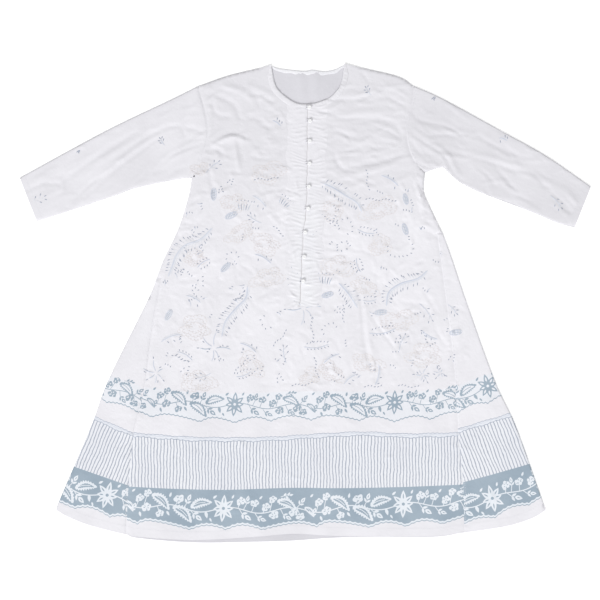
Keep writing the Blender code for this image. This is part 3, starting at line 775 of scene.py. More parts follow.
def with_rim(vertices, triangles, slots, way):
    """The layer with a rim at its open edges, down where way is -1 and up where it is 1."""
    edges = open_edges(triangles)
    ends, index = np.unique(edges, return_inverse=True)
    index = index.reshape(-1, 2) + len(vertices)
    lowered = vertices[ends] + np.array([0, 0, way * RIM])
    walls = np.column_stack([edges[:, 1], edges[:, 0], index[:, 0], index[:, 1]])
    faces = [list(t) for t in triangles] + [list(w) for w in walls]
    owner = {}
    for triangle, slot in zip(triangles, slots):
        for i in triangle:
            owner[i] = slot
    wall_slots = [owner[start] for start, _ in edges]
    return np.vstack([vertices, lowered]), faces, [*slots, *wall_slots]


# Rows of points for the round of a folded edge: how far inside it they lie, and how far in the grid starts
ROUND_ROWS = (0.5, 1.3, 2.6)
ROUND_ROW_KEPT = 0.8
ROUND_BAND = 4.5
SAME_PLACE = 0.05
CLOTH_SHARP_ANGLE = 65


def cloth(name, outline, step, height, prints, materials, stripe=None, under=None):
    """A cloth layer, with another one under it where height and under meet at folded edges."""
    outline = anticlockwise(without_doubles(outline))
    extra = grid_points(outline, step)
    if under:
        near_edge = refined_edge(outline)
        clear = np.abs(nearest(extra, np.append(outline, outline[0]))[0]) > ROUND_BAND
        extra = np.concatenate([extra[clear], near_edge])
    places, triangles, slots = triangulated(outline, extra, prints[0])
    vertices = np.column_stack([places.real, places.imag, height(places)])
    vertices, faces, slots = with_rim(vertices, triangles, slots, -1)
    if under:
        extra = np.concatenate([grid_points(outline, HIDDEN_GRID), near_edge])
        low_places, low_triangles, low_slots = triangulated(outline, extra, prints[1])
        low = np.column_stack([low_places.real, low_places.imag, under(low_places)])
        low, low_faces, low_slots = with_rim(low, low_triangles[:, ::-1], low_slots, 1)
        faces += [[i + len(vertices) for i in face] for face in low_faces]
        vertices = np.vstack([vertices, low])
        slots = [*slots, *low_slots]
    obj = new_object(name, vertices, faces, materials, slots)
    if stripe is not None:
        attribute = obj.data.attributes.new("stripe", "FLOAT", "POINT")
        attribute.data.foreach_set("value", stripe(vertices[:, 0] + 1j * vertices[:, 1]).astype(np.float32))
    obj.data.shade_smooth()
    obj.data.set_sharp_from_angle(angle=math.radians(CLOTH_SHARP_ANGLE))
    return obj


def signed_area(ring):
    """The area inside a closed ring, plus where it runs anticlockwise."""
    return np.sum((np.conj(ring) * np.roll(ring, -1)).imag) / 2


def anticlockwise(ring):
    return ring if signed_area(ring) > 0 else ring[::-1]


def without_doubles(outline):
    """The outline without points that fall together."""
    return outline[np.abs(outline - np.roll(outline, 1)) > SAME_PLACE]


def refined_edge(outline):
    """Rows of points close inside an outline, for the round of a folded edge."""
    closed = np.append(outline, outline[0])
    rows = []
    for inset in ROUND_ROWS:
        row = shifted(closed, inset)[:-1]
        row = row[inside(row, outline)]
        rows.append(row[np.abs(nearest(row, closed)[0]) > inset * ROUND_ROW_KEPT])
    return np.concatenate(rows)


# Materials

# Cotton's gloss, the drift between its two tones, and its crinkles and weave: noise and wave scales are
# per metre, depths in millimetres, and the ranges say where a tone starts and ends to change
SHEEN = 0.12
SHEEN_ROUGHNESS = 0.5
SPECULAR = 0.2
DRIFT_SCALE = 16
DRIFT_DETAIL = 3
DRIFT_RANGE = (0.35, 0.65)
# Where along Y, in metres, the bodice's painted shade comes in
BODICE_SHADE_RANGE = (0.1, 0.24)
CRINKLE_SCALE = 170
CRINKLE_DETAIL = 3
CRINKLE_DISTORTION = 0.6
WEAVE_SCALE = 620
WEAVE_DISTORTION = 0.6
WEAVE_STRENGTH = 0.25
WEAVE_DEPTH = 0.04
STRIPE_SHAKE = 0.45
STRIPE_SHAKE_SCALE = 140
STRIPE_SHAKE_DETAIL = 2
STRIPE_RANGE = (0.1, 0.19)


def new_material(name, values):
    """A material, its node tree and its shader with some of its inputs set."""
    made = bpy.data.materials.new(name)
    made.use_nodes = True
    shader = made.node_tree.nodes["Principled BSDF"]
    set_inputs(made.node_tree, shader, values)
    return made, made.node_tree, shader


def set_inputs(tree, node, values):
    """Sets a node's inputs by name or number, or links them where the value is another node's output."""
    for name, value in values.items():
        if isinstance(value, bpy.types.NodeSocket):
            tree.links.new(value, node.inputs[name])
        else:
            node.inputs[name].default_value = value


def new_node(tree, kind, values, **settings):
    """A shader node with its settings and its inputs."""
    node = tree.nodes.new("ShaderNode" + kind)
    for name, value in settings.items():
        setattr(node, name, value)
    set_inputs(tree, node, values)
    return node


def mixed(tree, factor, first, second):
    """A colour between two, each of them a plain colour or a node's output."""
    node = new_node(tree, "Mix", {}, data_type="RGBA")
    tree.links.new(factor, node.inputs["Factor"])
    places = [i for i, socket in enumerate(node.inputs) if socket.type == "RGBA"]
    set_inputs(tree, node, dict(zip(places, (first, second))))
    return [socket for socket in node.outputs if socket.type == "RGBA"][0]


def cloth_material(name, colour, other, crinkle=0.35, roughness=0.9, stripes=None, bodice=None, outer=None):
    """Plain-woven cotton: fine weave, small crinkles and a tone that drifts between two.

    Stripes may have a tone of their own. The bodice may be darker, which is painted shade, and a placket
    band's outer side may take the tone that the band's painted light fades into.
    """
    made, tree, shader = new_material(name, {
        "Roughness": roughness, "Sheen Weight": SHEEN, "Sheen Roughness": SHEEN_ROUGHNESS,
        "Specular IOR Level": SPECULAR})
    place = new_node(tree, "TexCoord", {}).outputs["Object"]

    def noise(scale, detail, distortion=0.0):
        values = {"Scale": scale, "Detail": detail, "Distortion": distortion, "Vector": place}
        return new_node(tree, "TexNoise", values).outputs["Fac"]

    def ramp(source, low, high):
        values = {"From Min": low, "From Max": high, "Value": source}
        return new_node(tree, "MapRange", values, interpolation_type="SMOOTHSTEP").outputs["Result"]

    tint = mixed(tree, ramp(noise(DRIFT_SCALE, DRIFT_DETAIL), *DRIFT_RANGE), tone(*colour), tone(*other))
    # Painted shade: the bodice darker than the skirt
    if bodice:
        parts = new_node(tree, "SeparateXYZ", {0: place})
        tint = mixed(tree, ramp(parts.outputs["Y"], *BODICE_SHADE_RANGE), tint, tone(*bodice))
    # A placket band's outer side: its painted light fades into this tone
    if outer:
        shade = new_node(tree, "Attribute", {}, attribute_name="outer")
        tint = mixed(tree, shade.outputs["Fac"], tint, tone(*outer))
    if stripes:
        number = new_node(tree, "Attribute", {}, attribute_name="stripe").outputs["Fac"]
        values = {0: noise(STRIPE_SHAKE_SCALE, STRIPE_SHAKE_DETAIL), 1: STRIPE_SHAKE, 2: number}
        shaken = new_node(tree, "Math", values, operation="MULTIPLY_ADD").outputs[0]
        part = new_node(tree, "Math", {0: shaken, 1: 0.5}, operation="PINGPONG").outputs[0]
        tint = mixed(tree, ramp(part, *STRIPE_RANGE), tone(*stripes), tint)

    height = noise(CRINKLE_SCALE, CRINKLE_DETAIL, CRINKLE_DISTORTION)
    bump = new_node(tree, "Bump", {"Strength": 1.0, "Distance": crinkle * MM, "Height": height})
    for direction in ("X", "Y"):
        values = {"Scale": WEAVE_SCALE, "Distortion": WEAVE_DISTORTION, "Vector": place}
        thread = new_node(tree, "TexWave", values, bands_direction=direction).outputs["Fac"]
        values = {"Strength": WEAVE_STRENGTH, "Distance": WEAVE_DEPTH * MM, "Height": thread}
        bump = new_node(tree, "Bump", {**values, "Normal": bump.outputs["Normal"]})
    set_inputs(tree, shader, {"Base Color": tint, "Normal": bump.outputs["Normal"]})
    return made


white_cloth = cloth_material("cotton", (235, 234, 239), (229, 228, 233))
# The right sleeve's cotton is the same, darker: painted shade
white_cloth_painted_shade_right = cloth_material("cotton_painted_shade_right", (229, 228, 233), (224, 223, 228))
# The back is the same cotton, darker: painted shade for its inside seen in the neck opening
inside_cloth_painted_shade = cloth_material("cotton_inside_painted_shade", (220, 219, 225), (216, 215, 221))
binding_cloth = cloth_material("binding_tape", (238, 238, 242), (233, 233, 238), 0.4)
# The front tapes are the same tape, darker: painted shade as on the bodice
front_binding_painted_shade = cloth_material("binding_tape_front_painted_shade", (234, 233, 238), (229, 228, 233), 0.4)
# The placket bands' cotton is lighter than the cloth round it: painted light where their creases catch it. It
# fades to the bodice's tone at the outer sides and takes the bodice's painted shade above.
placket_cloth_painted_light = cloth_material(
    "placket_band_painted_light", (240, 240, 244), (235, 235, 240), 0.4, bodice=(234, 233, 238), outer=(234, 233, 238))
SKIRT_MATERIALS = [
    # The skirt's cotton, with the bodice darker: painted shade
    cloth_material("cotton_embroidered", (240, 239, 244), (235, 234, 239), 0.45, bodice=(229, 228, 233)),
    cloth_material("cotton_stripes", (240, 242, 247), (236, 238, 244), stripes=(174, 180, 194)),
    cloth_material("print_blue", (168, 183, 196), (158, 174, 188)),
    cloth_material("print_white", (238, 242, 248), (230, 236, 243)),
    cloth_material("print_pale", (236, 239, 246), (232, 235, 243)),
    cloth_material("print_line", (168, 176, 192), (180, 188, 202)),
    cloth_material("print_ground", (238, 240, 246), (234, 236, 242)),
    cloth_material("print_pale_line", (206, 212, 224), (214, 219, 230)),
    # A dark strip along the slit: painted shadow in the gap between the placket bands
    cloth_material("slit_painted_shadow", (206, 203, 206), (216, 214, 217), 0.2),
]
THREAD_CRINKLE = 0.1
THREAD_ROUGHNESS = 0.7
THREAD_TONES = {
    "white": ((240, 240, 244), (232, 232, 238)),
    "blue": ((212, 217, 230), (220, 224, 234)),
    "sky": ((196, 205, 219), (208, 215, 226)),
    "dark": ((156, 164, 182), (176, 183, 199)),
    # A near-black tone for a small dark dot at the left underarm
    "dark_dot": ((78, 78, 86), (96, 96, 104)),
    "pale": ((226, 229, 237), (231, 233, 240)),
    "rose": ((234, 228, 229), (238, 233, 232)),
}
threads = {thread: cloth_material(f"thread_{thread}", *tones, THREAD_CRINKLE, THREAD_ROUGHNESS)
           for thread, tones in THREAD_TONES.items()}


# Pieces of cloth

JOIN_GAP = 0.5


def joined(*paths):
    """Paths end to end as one closed outline."""
    return np.concatenate([path[:-1] if abs(path[-1] - following[0]) < JOIN_GAP else path
                           for path, following in zip(paths, [*paths[1:], paths[0]])])


def edge(corners):
    return smooth(corners, EDGE_STEP)


seam_right = edge(GORE_SEAM_RIGHT)
seam_left = edge(GORE_SEAM_LEFT)
shoulders = [edge(SHOULDER_RIGHT), edge(SHOULDER_LEFT), edge(SIDE_RIGHT), edge(SIDE_LEFT)]


def rolled_height(points, folded):
    """The height of the top layer's outer face where it turns down at folded edges."""
    return MIDDLE + (top_height(points) - MIDDLE) * roll(points, folded)


def front_height(points):
    return rolled_height(points, shoulders)


def front_stripe(points):
    """The number of the stripe that a point of the front is in, with its part: stripes waver a little."""
    wave = 0.08 * np.sin(points.imag / 6 + points.real / 31)
    wave += 0.1 * np.sin(points.imag / 17 + points.real / 11)
    return points.real / STRIPE_PITCH + wave


def gore_stripe(line, way):
    """The same for a gore, whose stripes run along a line."""
    start, end = (complex(*place) for place in line)
    normal = 1j * unit(end - start)

    def stripe(points):
        off = ((points - start) * np.conj(normal)).real
        return way * off / STRIPE_PITCH + 0.1 * np.sin(points.imag / 8 + off / 9)
    return stripe


front_outline = joined(
    edge(NECK_FRONT), edge(SHOULDER_RIGHT), edge(ARMHOLE_RIGHT), edge(SIDE_RIGHT), seam_right,
    edge(HEM_FRONT), seam_left[::-1], edge(SIDE_LEFT), edge(ARMHOLE_LEFT), edge(SHOULDER_LEFT))
back_outline = joined(
    edge(NECK_BACK), edge(SHOULDER_RIGHT), edge(ARMHOLE_RIGHT), edge(SIDE_RIGHT), seam_right,
    edge(HEM_BACK), seam_left[::-1], edge(SIDE_LEFT), edge(ARMHOLE_LEFT), edge(SHOULDER_LEFT))
gore_right_outline = joined(seam_right, edge(GORE_HEM_RIGHT), edge(GORE_SIDE_RIGHT)[::-1])
gore_left_outline = joined(seam_left, edge(GORE_HEM_LEFT), edge(GORE_SIDE_LEFT)[::-1])
sleeve_right_outline = joined(
    edge(ARMHOLE_RIGHT), edge(SLEEVE_UNDER_RIGHT), edge(SLEEVE_CUFF_RIGHT), edge(SLEEVE_TOP_RIGHT)[::-1])
sleeve_left_outline = joined(
    edge(ARMHOLE_LEFT), edge(SLEEVE_TOP_LEFT), edge(SLEEVE_CUFF_LEFT), edge(SLEEVE_UNDER_LEFT)[::-1])

slit_line = edge(SLIT)
slit = slit_line + 0.45 * np.sin(slit_line.imag / 6.5) + 0.25 * np.sin(slit_line.imag / 2.3)
front_print, front_ground = skirt_print("front")
# Painted shadow along the slit, where the bands part
front_print.append(ribbon(SLIT_SHADOW, slit, 2 * SLIT_HALF))
front = cloth(
    "front_cloth", front_outline, FRONT_GRID, front_height, (front_print, front_ground), SKIRT_MATERIALS,
    front_stripe)
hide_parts("front_panel")

# Two creases of the back, seen inside the neck
BACK_CREASES = [smooth(line, 6) for line in (
    [(-6.4, 366), (-5, 348), (-4, 332)],
    [(17.6, 366), (17, 348), (16, 332)],
)]
BACK_CREASE_RISE = 1.5
BACK_CREASE_REACH = 4.5
BACK_CREASES_UNDER_Y = 368


def back_height(points):
    lift = np.zeros(len(points))
    for crease in BACK_CREASES:
        away, _ = nearest(points, crease)
        lift += BACK_CREASE_RISE * np.exp(-((away / BACK_CREASE_REACH) ** 2))
    return BACK + lift * (points.imag < BACK_CREASES_UNDER_Y)


# The back cloth takes the darker cotton: painted shade
back = cloth("back_cloth", back_outline, BACK_GRID, back_height, ([], []), [inside_cloth_painted_shade])
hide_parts("back_panel")


def tube_piece(name, outline, folded, prints, materials, stripe=None):
    """A piece that goes round a folded edge: its top layer and its hidden one."""
    def top(points):
        return rolled_height(points, folded)

    def low(points):
        return MIDDLE + (FLOOR_CLEARANCE - MIDDLE) * roll(points, folded)

    return cloth(name, outline, SIDE_GRID, top, prints, materials, stripe, low)


gore_right = tube_piece(
    "gore_right_cloth", gore_right_outline, [edge(GORE_SIDE_RIGHT)], skirt_print("gore_right"),
    SKIRT_MATERIALS, gore_stripe(((303, -123), (381, -320)), 1),
)
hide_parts("gore_right")
gore_left = tube_piece(
    "gore_left_cloth", gore_left_outline, [edge(GORE_SIDE_LEFT)], skirt_print("gore_left"),
    SKIRT_MATERIALS, gore_stripe(((-314, -123), (-391, -312)), 1),
)
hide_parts("gore_left")
# The right sleeve takes the darker cotton: painted shade
sleeve_right = tube_piece(
    "sleeve_right_cloth", sleeve_right_outline, [edge(SLEEVE_TOP_RIGHT), edge(SLEEVE_UNDER_RIGHT)], ([], []),
    [white_cloth_painted_shade_right],
)
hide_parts("sleeve_right")
sleeve_left = tube_piece(
    "sleeve_left_cloth", sleeve_left_outline, [edge(SLEEVE_TOP_LEFT), edge(SLEEVE_UNDER_LEFT)], ([], []),
    [white_cloth],
)
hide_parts("sleeve_left")


# Bindings and placket bands

def strip(name, places, heights, material):
    """A strip from rows of points of equal count, given as tables of places and heights."""
    rows, count = places.shape
    vertices = np.column_stack([places.real.ravel(), places.imag.ravel(), heights.ravel()])
    faces = []
    for row in range(rows - 1):
        for i in range(count - 1):
            a = row * count + i
            faces.append((a, a + count, a + count + 1, a + 1))
    obj = new_object(name, vertices, faces, [material])
    obj.data.shade_smooth()
    return obj


# A tape's cross-section, outwards and upwards, and its wrinkles
BINDING_PROFILE = [
    (-0.3, -1.2), (0.0, -0.1), (0.7, 0.5), (2.0, 0.62), (4.2, 0.5), (6.0, 0.34), (7.4, 0.16), (8.5, 0.03),
    (8.5, -0.8)]
BINDING_STEP = 1.6
WRINKLE_RISE = 0.3
WRINKLE_PITCH = 4.8
FINE_WRINKLE_RISE = 0.14
WRINKLE_OFFSETS = (0.7, 2, 4.2, 8)
WRINKLE_SHARES = (0, 1, 1, 0)
TIP_SHARE = 0.3
TIP_LENGTH = 22
NECK_STEP = 2
BACK_TAPE_WIDTH = 0.72
BACK_TAPE_UNEVEN = 0.14


def binding(name, path, base, material, width=1.0, uneven=0.0):
    """A tape along a neck edge, with small cross wrinkles, narrower at the tips of the shoulders."""
    path = evenly(path, BINDING_STEP)
    normal = shifted(path, 1.0) - path
    along = distances(path)
    wrinkle = WRINKLE_RISE * np.sin(along * 2 * np.pi / WRINKLE_PITCH + 1.8 * np.sin(along / 9))
    wrinkle += FINE_WRINKLE_RISE * np.sin(along / 1.7)
    offset, rise = np.array(BINDING_PROFILE).T
    from_tip = np.min([np.abs(path - complex(*tip)) for tip in (NECK_FRONT[0], NECK_FRONT[-1])], axis=0)
    width = width + uneven * np.sin(along / 8) * np.cos(along / 5)
    width = width * np.clip(TIP_SHARE + from_tip / TIP_LENGTH, 0, 1)
    places = path[:, None] + normal[:, None] * offset * width[:, None]
    ground = base(places.ravel()).reshape(places.shape)
    heights = ground + rise + wrinkle[:, None] * np.interp(offset, WRINKLE_OFFSETS, WRINKLE_SHARES)
    return strip(name, places, heights, material)


def back_ground(points):
    return np.full(len(points), BACK)


neck = smooth(NECK_FRONT, NECK_STEP)
back_neck = smooth(NECK_BACK, NECK_STEP)
slit_top = SLIT[0][0]
bindings = [
    binding("neck_binding_left_tape", neck[neck.real < slit_top][::-1], front_height, front_binding_painted_shade),
    binding("neck_binding_right_tape", neck[neck.real > slit_top][::-1], front_height, front_binding_painted_shade),
    binding(
        "neck_binding_back_tape", back_neck[::-1], back_ground, binding_cloth,
        BACK_TAPE_WIDTH, BACK_TAPE_UNEVEN),
]
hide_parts("neck_binding_left")
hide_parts("neck_binding_right")
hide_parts("neck_binding_back")

# Placket bands: their mesh, their pleats, how buttons draw these, and the turn beside the slit
PLACKET_ROWS = 320
PLACKET_COLUMNS = 15
PLACKET_RISE = 0.35
PLACKET_LIFT = 0.05
NECK_CLEARANCE = 1.5
PLEAT_PITCH = 6.6
PLEAT_RISE = 0.62
PLEAT_SHARPNESS = 1.6
PLEAT_STRENGTHS = (0.1, 1)
BUTTON_PULL = 6.0
BUTTON_PULL_REACH = 15
SLIT_SIDE_TURN = 0.07
# How far a band's painted light fades into the cloth's tone at its outer side, as a share of its soft share
SHADE_REACH = 2.2


def placket(name, first, second, slit_side, soft):
    """A band of cloth drawn up in cross creases beside the slit, which gather towards the buttons.

    It starts to rise over its soft share at the outer edge, where its lighter tone, which is painted light,
    fades into the cloth's.
    """
    first = at(first, np.linspace(0, distances(first)[-1], PLACKET_ROWS))
    second = at(second, np.linspace(0, distances(second)[-1], PLACKET_ROWS))
    across = np.linspace(0, 1, PLACKET_COLUMNS)
    places = first[:, None] + (second - first)[:, None] * across
    top = places[0].imag
    bottom = places[-1].imag
    limit = np.minimum(top, np.interp(places[0].real, neck.real, neck.imag) - NECK_CLEARANCE)
    places = places.real + 1j * (bottom + (places.imag - bottom) * (limit - bottom) / (top - bottom))
    toward = across if slit_side == "second" else 1 - across
    x, y = (places.real, places.imag)
    pull = np.zeros(y.shape)
    for button_y in BUTTON_HEIGHTS_Y:
        off = (y - button_y) / BUTTON_PULL_REACH
        pull += off * np.exp(-(off**2)) * BUTTON_PULL
    warped = y + pull * toward + 3.4 * np.sin(x / 9 + y / 17) + 2.4 * np.sin(y / 7.3 + x / 13)
    pleat = 0.5 + 0.5 * np.sin(2 * np.pi * warped / PLEAT_PITCH)
    strength = np.clip(0.5 + 0.6 * np.sin(y / 9.0 + 5 * toward) * np.sin(y / 4.1 + x / 8), *PLEAT_STRENGTHS)
    outer = np.clip(toward / soft, 0, 1)
    inner = np.clip((1 - toward) / SLIT_SIDE_TURN, 0, 1) ** 0.5
    rise = (PLACKET_RISE + PLEAT_RISE * pleat**PLEAT_SHARPNESS * strength) * outer * inner
    ground = top_height(places.ravel()).reshape(places.shape)
    obj = strip(name, places, ground + rise + PLACKET_LIFT, placket_cloth_painted_light)
    # Where the band's painted light gives way to the cloth's tone at the outer side
    shade = np.tile(np.clip(1 - toward / (SHADE_REACH * soft), 0, 1), PLACKET_ROWS).astype(np.float32)
    obj.data.attributes.new("outer", "FLOAT", "POINT").data.foreach_set("value", shade)
    return obj


def uneven_edge(corners):
    """The outer edge of a placket band, drawn in by its creases."""
    line = smooth(corners, 3)
    return line + 1.5 * np.sin(line.imag / 10) + 1.0 * np.sin(line.imag / 4.3)


plackets = [
    placket("placket_left_band", uneven_edge(PLACKET_LEFT_EDGE), slit - SLIT_HALF, "second", 0.42),
    placket("placket_right_band", slit + SLIT_HALF, uneven_edge(PLACKET_RIGHT_EDGE), "first", 0.26),
]
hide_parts("placket_left")
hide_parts("placket_right")


# Embroidery

OUTER_EDGES = shoulders + [edge(line) for line in (
    GORE_SIDE_RIGHT, GORE_SIDE_LEFT,
    SLEEVE_TOP_RIGHT, SLEEVE_UNDER_RIGHT, SLEEVE_TOP_LEFT, SLEEVE_UNDER_LEFT,
)]
TOP_OUTLINES = [
    front_outline, gore_right_outline, gore_left_outline, sleeve_right_outline, sleeve_left_outline]
STITCH_CLEARANCE = 0.14
needle = np.random.default_rng(41)
runs = {colour: [] for colour in THREAD_TONES}


def surface(points):
    """The height of the dress's upper outer face."""
    return rolled_height(points, OUTER_EDGES)


def sew(colour, path, width):
    runs[colour].append((np.asarray(path, complex), width))


def on_cloth(colour):
    """The stitches of a colour that lie wholly inside one of the pieces or across a seam between them."""
    points = np.concatenate([path for path, _ in runs[colour]])
    covered = np.zeros(len(points), bool)
    for outline in TOP_OUTLINES:
        covered |= inside(points, outline)
    ends = np.cumsum([len(path) for path, _ in runs[colour]])
    return [run for run, part in zip(runs[colour], np.split(covered, ends[:-1])) if part.all()]


def raised(name, colour, rise):
    """All stitches of one colour as one mesh. Each has two sides on the cloth and a ridge between them."""
    places = []
    lift = []
    faces = []
    count = 0
    for path, width in on_cloth(colour):
        along = distances(path)
        taper = np.clip(np.minimum(along, along[-1] - along) / (width * 0.7) + 0.3, 0, 1)
        side = (shifted(path, 1.0) - path) * taper * width / 2
        places.append(np.column_stack([path + side, path, path - side]).ravel())
        lift.append(np.column_stack([0 * taper, rise * taper, 0 * taper]).ravel())
        for row in range(len(path) - 1):
            a = count + 3 * row
            faces += [(a, a + 1, a + 4, a + 3), (a + 1, a + 2, a + 5, a + 4)]
        count += 3 * len(path)
    places = np.concatenate(places)
    heights = surface(places) + STITCH_CLEARANCE + np.concatenate(lift)
    vertices = np.column_stack([places.real, places.imag, heights])
    obj = new_object(name, vertices, faces, [threads[colour]])
    obj.data.shade_smooth()
    return obj


def bowed(start, end, bow):
    """A slightly bowed stroke between two points."""
    t = np.linspace(0, 1, max(4, round(abs(end - start) / 2.5)))
    return start + (end - start) * (t + 1j * bow * np.sin(np.pi * t))


def dash(place, way, length=4.2, width=1.25):
    """A small dark dash in some direction."""
    way = way * length / 2
    sew("dark", np.linspace(place - way, place + way, 4), width)


def frond(corners):
    """A bowed double stem with a row of dashes on each side."""
    stem = smooth(corners, 3.0)
    length = distances(stem)[-1]
    sew("blue", stem, 2.4)
    sew("sky", stem[2:-2], 0.9)
    sew("pale", shifted(stem, 2.6)[1:-1], 1.4)
    for side in (-1, 1):
        for along in np.arange(6.0, length - 7, 5.0):
            along += needle.uniform(-1.0, 1.0)
            way = unit(at(stem, along + 1) - at(stem, along - 1))
            out = way * np.exp(side * 1j * needle.uniform(1.0, 1.35))
            reach = (4.5 + 7.0 * np.sin(np.pi * along / length)) * needle.uniform(0.85, 1.12)
            base = at(stem, along)
            sew("pale", np.linspace(base + out * 2.5, base + out * (reach - 1.5), 4), 0.8)
            if side < 0 or needle.random() < 0.72:
                dash(base + out * reach, out, needle.uniform(3.6, 5.6), 1.15)


def chain(x, y, size, turn):
    """A row of small dashes."""
    way = np.exp(1j * turn)
    start = complex(x, y)
    for along in np.arange(0, size, 5.2):
        lean = way * np.exp(1j * needle.uniform(0.2, 0.9))
        dash(start + way * along + 1j * way * 1.6 * math.sin(along / 4), lean, 3.2, 1.3)


def curl(x, y, size, turn):
    """A row of small dashes along a half circle."""
    for angle in np.linspace(0, np.pi, max(4, round(size / 4.6))):
        place = complex(x, y) + size / 2 * np.exp(1j * (turn + angle)) * (0.9 + 0.1 * math.sin(3 * angle))
        dash(place, np.exp(1j * (turn + angle + 0.5)), 3.2, 1.2)


def oval(x, y, size, turn):
    """A filled leaf: its outline and slanting stitches across it."""
    middle = complex(x, y)
    around = np.linspace(0, 2 * np.pi, 25)
    ring = size / 2 * np.cos(around) + 0.21j * size * np.sin(around)
    sew("blue", turned(ring, turn, middle), 1.3)
    for across in np.linspace(-0.38, 0.38, 7):
        half = 0.19j * size * math.sqrt(1 - (across / 0.5) ** 2)
        ends = size * across + np.array([-half - 0.7, -half * 0.3, half * 0.3, half + 0.7])
        sew("sky", turned(ends, turn, middle), 1.2)
    for rib in (-0.06j, 0.09j):
        sew("sky", turned(bowed(-0.34 * size, 0.34 * size, 0.06) + rib * size, turn, middle), 0.8)


def stroke(x, y, size, turn):
    """A bowed double stroke with a few dashes beside it."""
    start = complex(x, y)
    end = start + size * np.exp(1j * turn)
    line = bowed(start, end, 0.08)
    sew("blue", line, 1.8)
    sew("pale", shifted(line, 2.2)[1:-1], 1.2)
    for share in (0.3, 0.6, 0.9):
        side = needle.choice([-1, 1])
        out = 1j * unit(end - start) * side
        dash(start + (end - start) * share + out * needle.uniform(4, 7), out * np.exp(0.5j))


def burst(x, y, size, turn):
    """Strokes that run out from one place, with dashes round them."""
    middle = complex(x, y)
    for number, angle in enumerate(np.linspace(0, 2 * np.pi, 7)[:-1] + turn):
        way = np.exp(1j * (angle + needle.uniform(-0.3, 0.3)))
        length = size * needle.uniform(0.35, 0.62)
        colour = "blue" if number % 3 else "sky"
        sew(colour, bowed(middle + way * size * 0.08, middle + way * length, 0.1), 1.5)
        if number % 2:
            dash(middle + way * (length + 3.5), way)
        else:
            dash(middle + way * length * 0.8 + 1j * way * 4.5, way)


def twig(x, y, size, turn):
    """A thin stem with side strokes and dashes at their ends."""
    start = complex(x, y)
    way = np.exp(1j * turn)
    sew("blue", bowed(start, start + way * size, 0.06), 1.3)
    for share, side in ((0.3, 1), (0.45, -1), (0.65, 1), (0.8, -1)):
        out = way * np.exp(0.8j * side)
        base = start + way * size * share
        sew("pale", bowed(base, base + out * size * 0.2, 0.1), 1.0)
        dash(base + out * (size * 0.2 + 2.5), out)
    dash(start + way * (size + 2), way)


def sprig_stitched(x, y, size, turn):
    """A bowed stem between two rows of dashes, wider at its middle."""
    start = complex(x, y)
    way = np.exp(1j * turn)
    sew("blue", bowed(start, start + way * size, -0.1), 1.5)
    for side in (-1, 1):
        for share in np.arange(0.15, 1.0, 5.5 / size):
            dash(start + way * size * share + side * 1j * way * (3.5 + 2.5 * math.sin(np.pi * share)),
                 way * np.exp(side * 0.9j), 3.0, 1.2)


def comb(x, y, size, turn):
    """Short strokes side by side, spread like a fan."""
    base = complex(x, y)
    for number in range(5):
        way = np.exp(1j * (turn + 0.16 * (number - 2)))
        foot = base + 1j * np.exp(1j * turn) * 3.2 * (number - 2)
        sew("dark" if number % 2 else "sky", bowed(foot, foot + way * size * 0.5, 0.05), 1.3)
        dash(foot + way * size * 0.72, way, 2.4)


def cluster(x, y, size, turn):
    """A few dashes close together."""
    for number in range(5):
        place = complex(x, y) + size / 2 * np.exp(1j * (turn + 2.4 * number)) * math.sqrt((number + 0.5) / 5)
        dash(place, np.exp(1j * (turn + number)), 3.0, 1.3)


def lace(x, y, size, turn):
    """A faint open flower of looped thread."""
    for scale in (1.0, 0.72, 0.42):
        loops = round(0.72 * size * scale)
        t = np.linspace(0, 2 * np.pi, 9 * loops)
        lobes = 0.66 + 0.3 * np.abs(np.cos(2.5 * t + turn))
        lobes += 0.16 * np.sin(2 * t + 5 * turn)
        lobes += 0.1 * np.sin(3 * t - turn)
        thread = size * 0.66 * scale * lobes * np.exp(1j * t) + 1.7 * np.exp(1j * t * loops)
        sew("rose", turned(thread.real + 0.66j * thread.imag, 0.4 * math.sin(turn), complex(x, y)), 0.55)


def scattered(count):
    """Small groups of two or three dashes or short strokes between the figures."""
    for _ in range(count):
        place = complex(needle.uniform(-235, 235), needle.uniform(-134, 190))
        on_placket = -38 < place.real < 34 and place.imag > -8
        if on_placket or abs(place.real) > 175 + 0.35 * (190 - place.imag):
            continue
        way = np.exp(1j * needle.uniform(0, 2 * np.pi))
        if needle.random() < 0.35:
            sew("blue", bowed(place, place + way * needle.uniform(6, 12), 0.1), 1.2)
        for number in range(needle.integers(2, 4)):
            start = place + 1j * way * 4.5 * number + way * needle.uniform(1, 4)
            dash(start, way * np.exp(0.3j * number), 3.0, 1.2)


STITCHED = {"chain": chain, "curl": curl, "oval": oval, "stroke": stroke, "burst": burst, "twig": twig,
            "sprig": sprig_stitched, "comb": comb, "cluster": cluster, "lace": lace}

FROND_CORNERS = [
    [(22, 194), (45, 184), (66, 171), (83, 160), (91, 145)],
    [(-148, 120), (-167, 102), (-192, 92), (-206, 76), (-212, 60), (-219, 42)],
    [(-92, 26), (-95, 8), (-112, -10), (-128, -31), (-133, -54)],
    [(196, 52), (180, 39), (153, 31), (134, 17), (130, -5)],
    [(54, 32), (70, 14), (84, -8)],
]

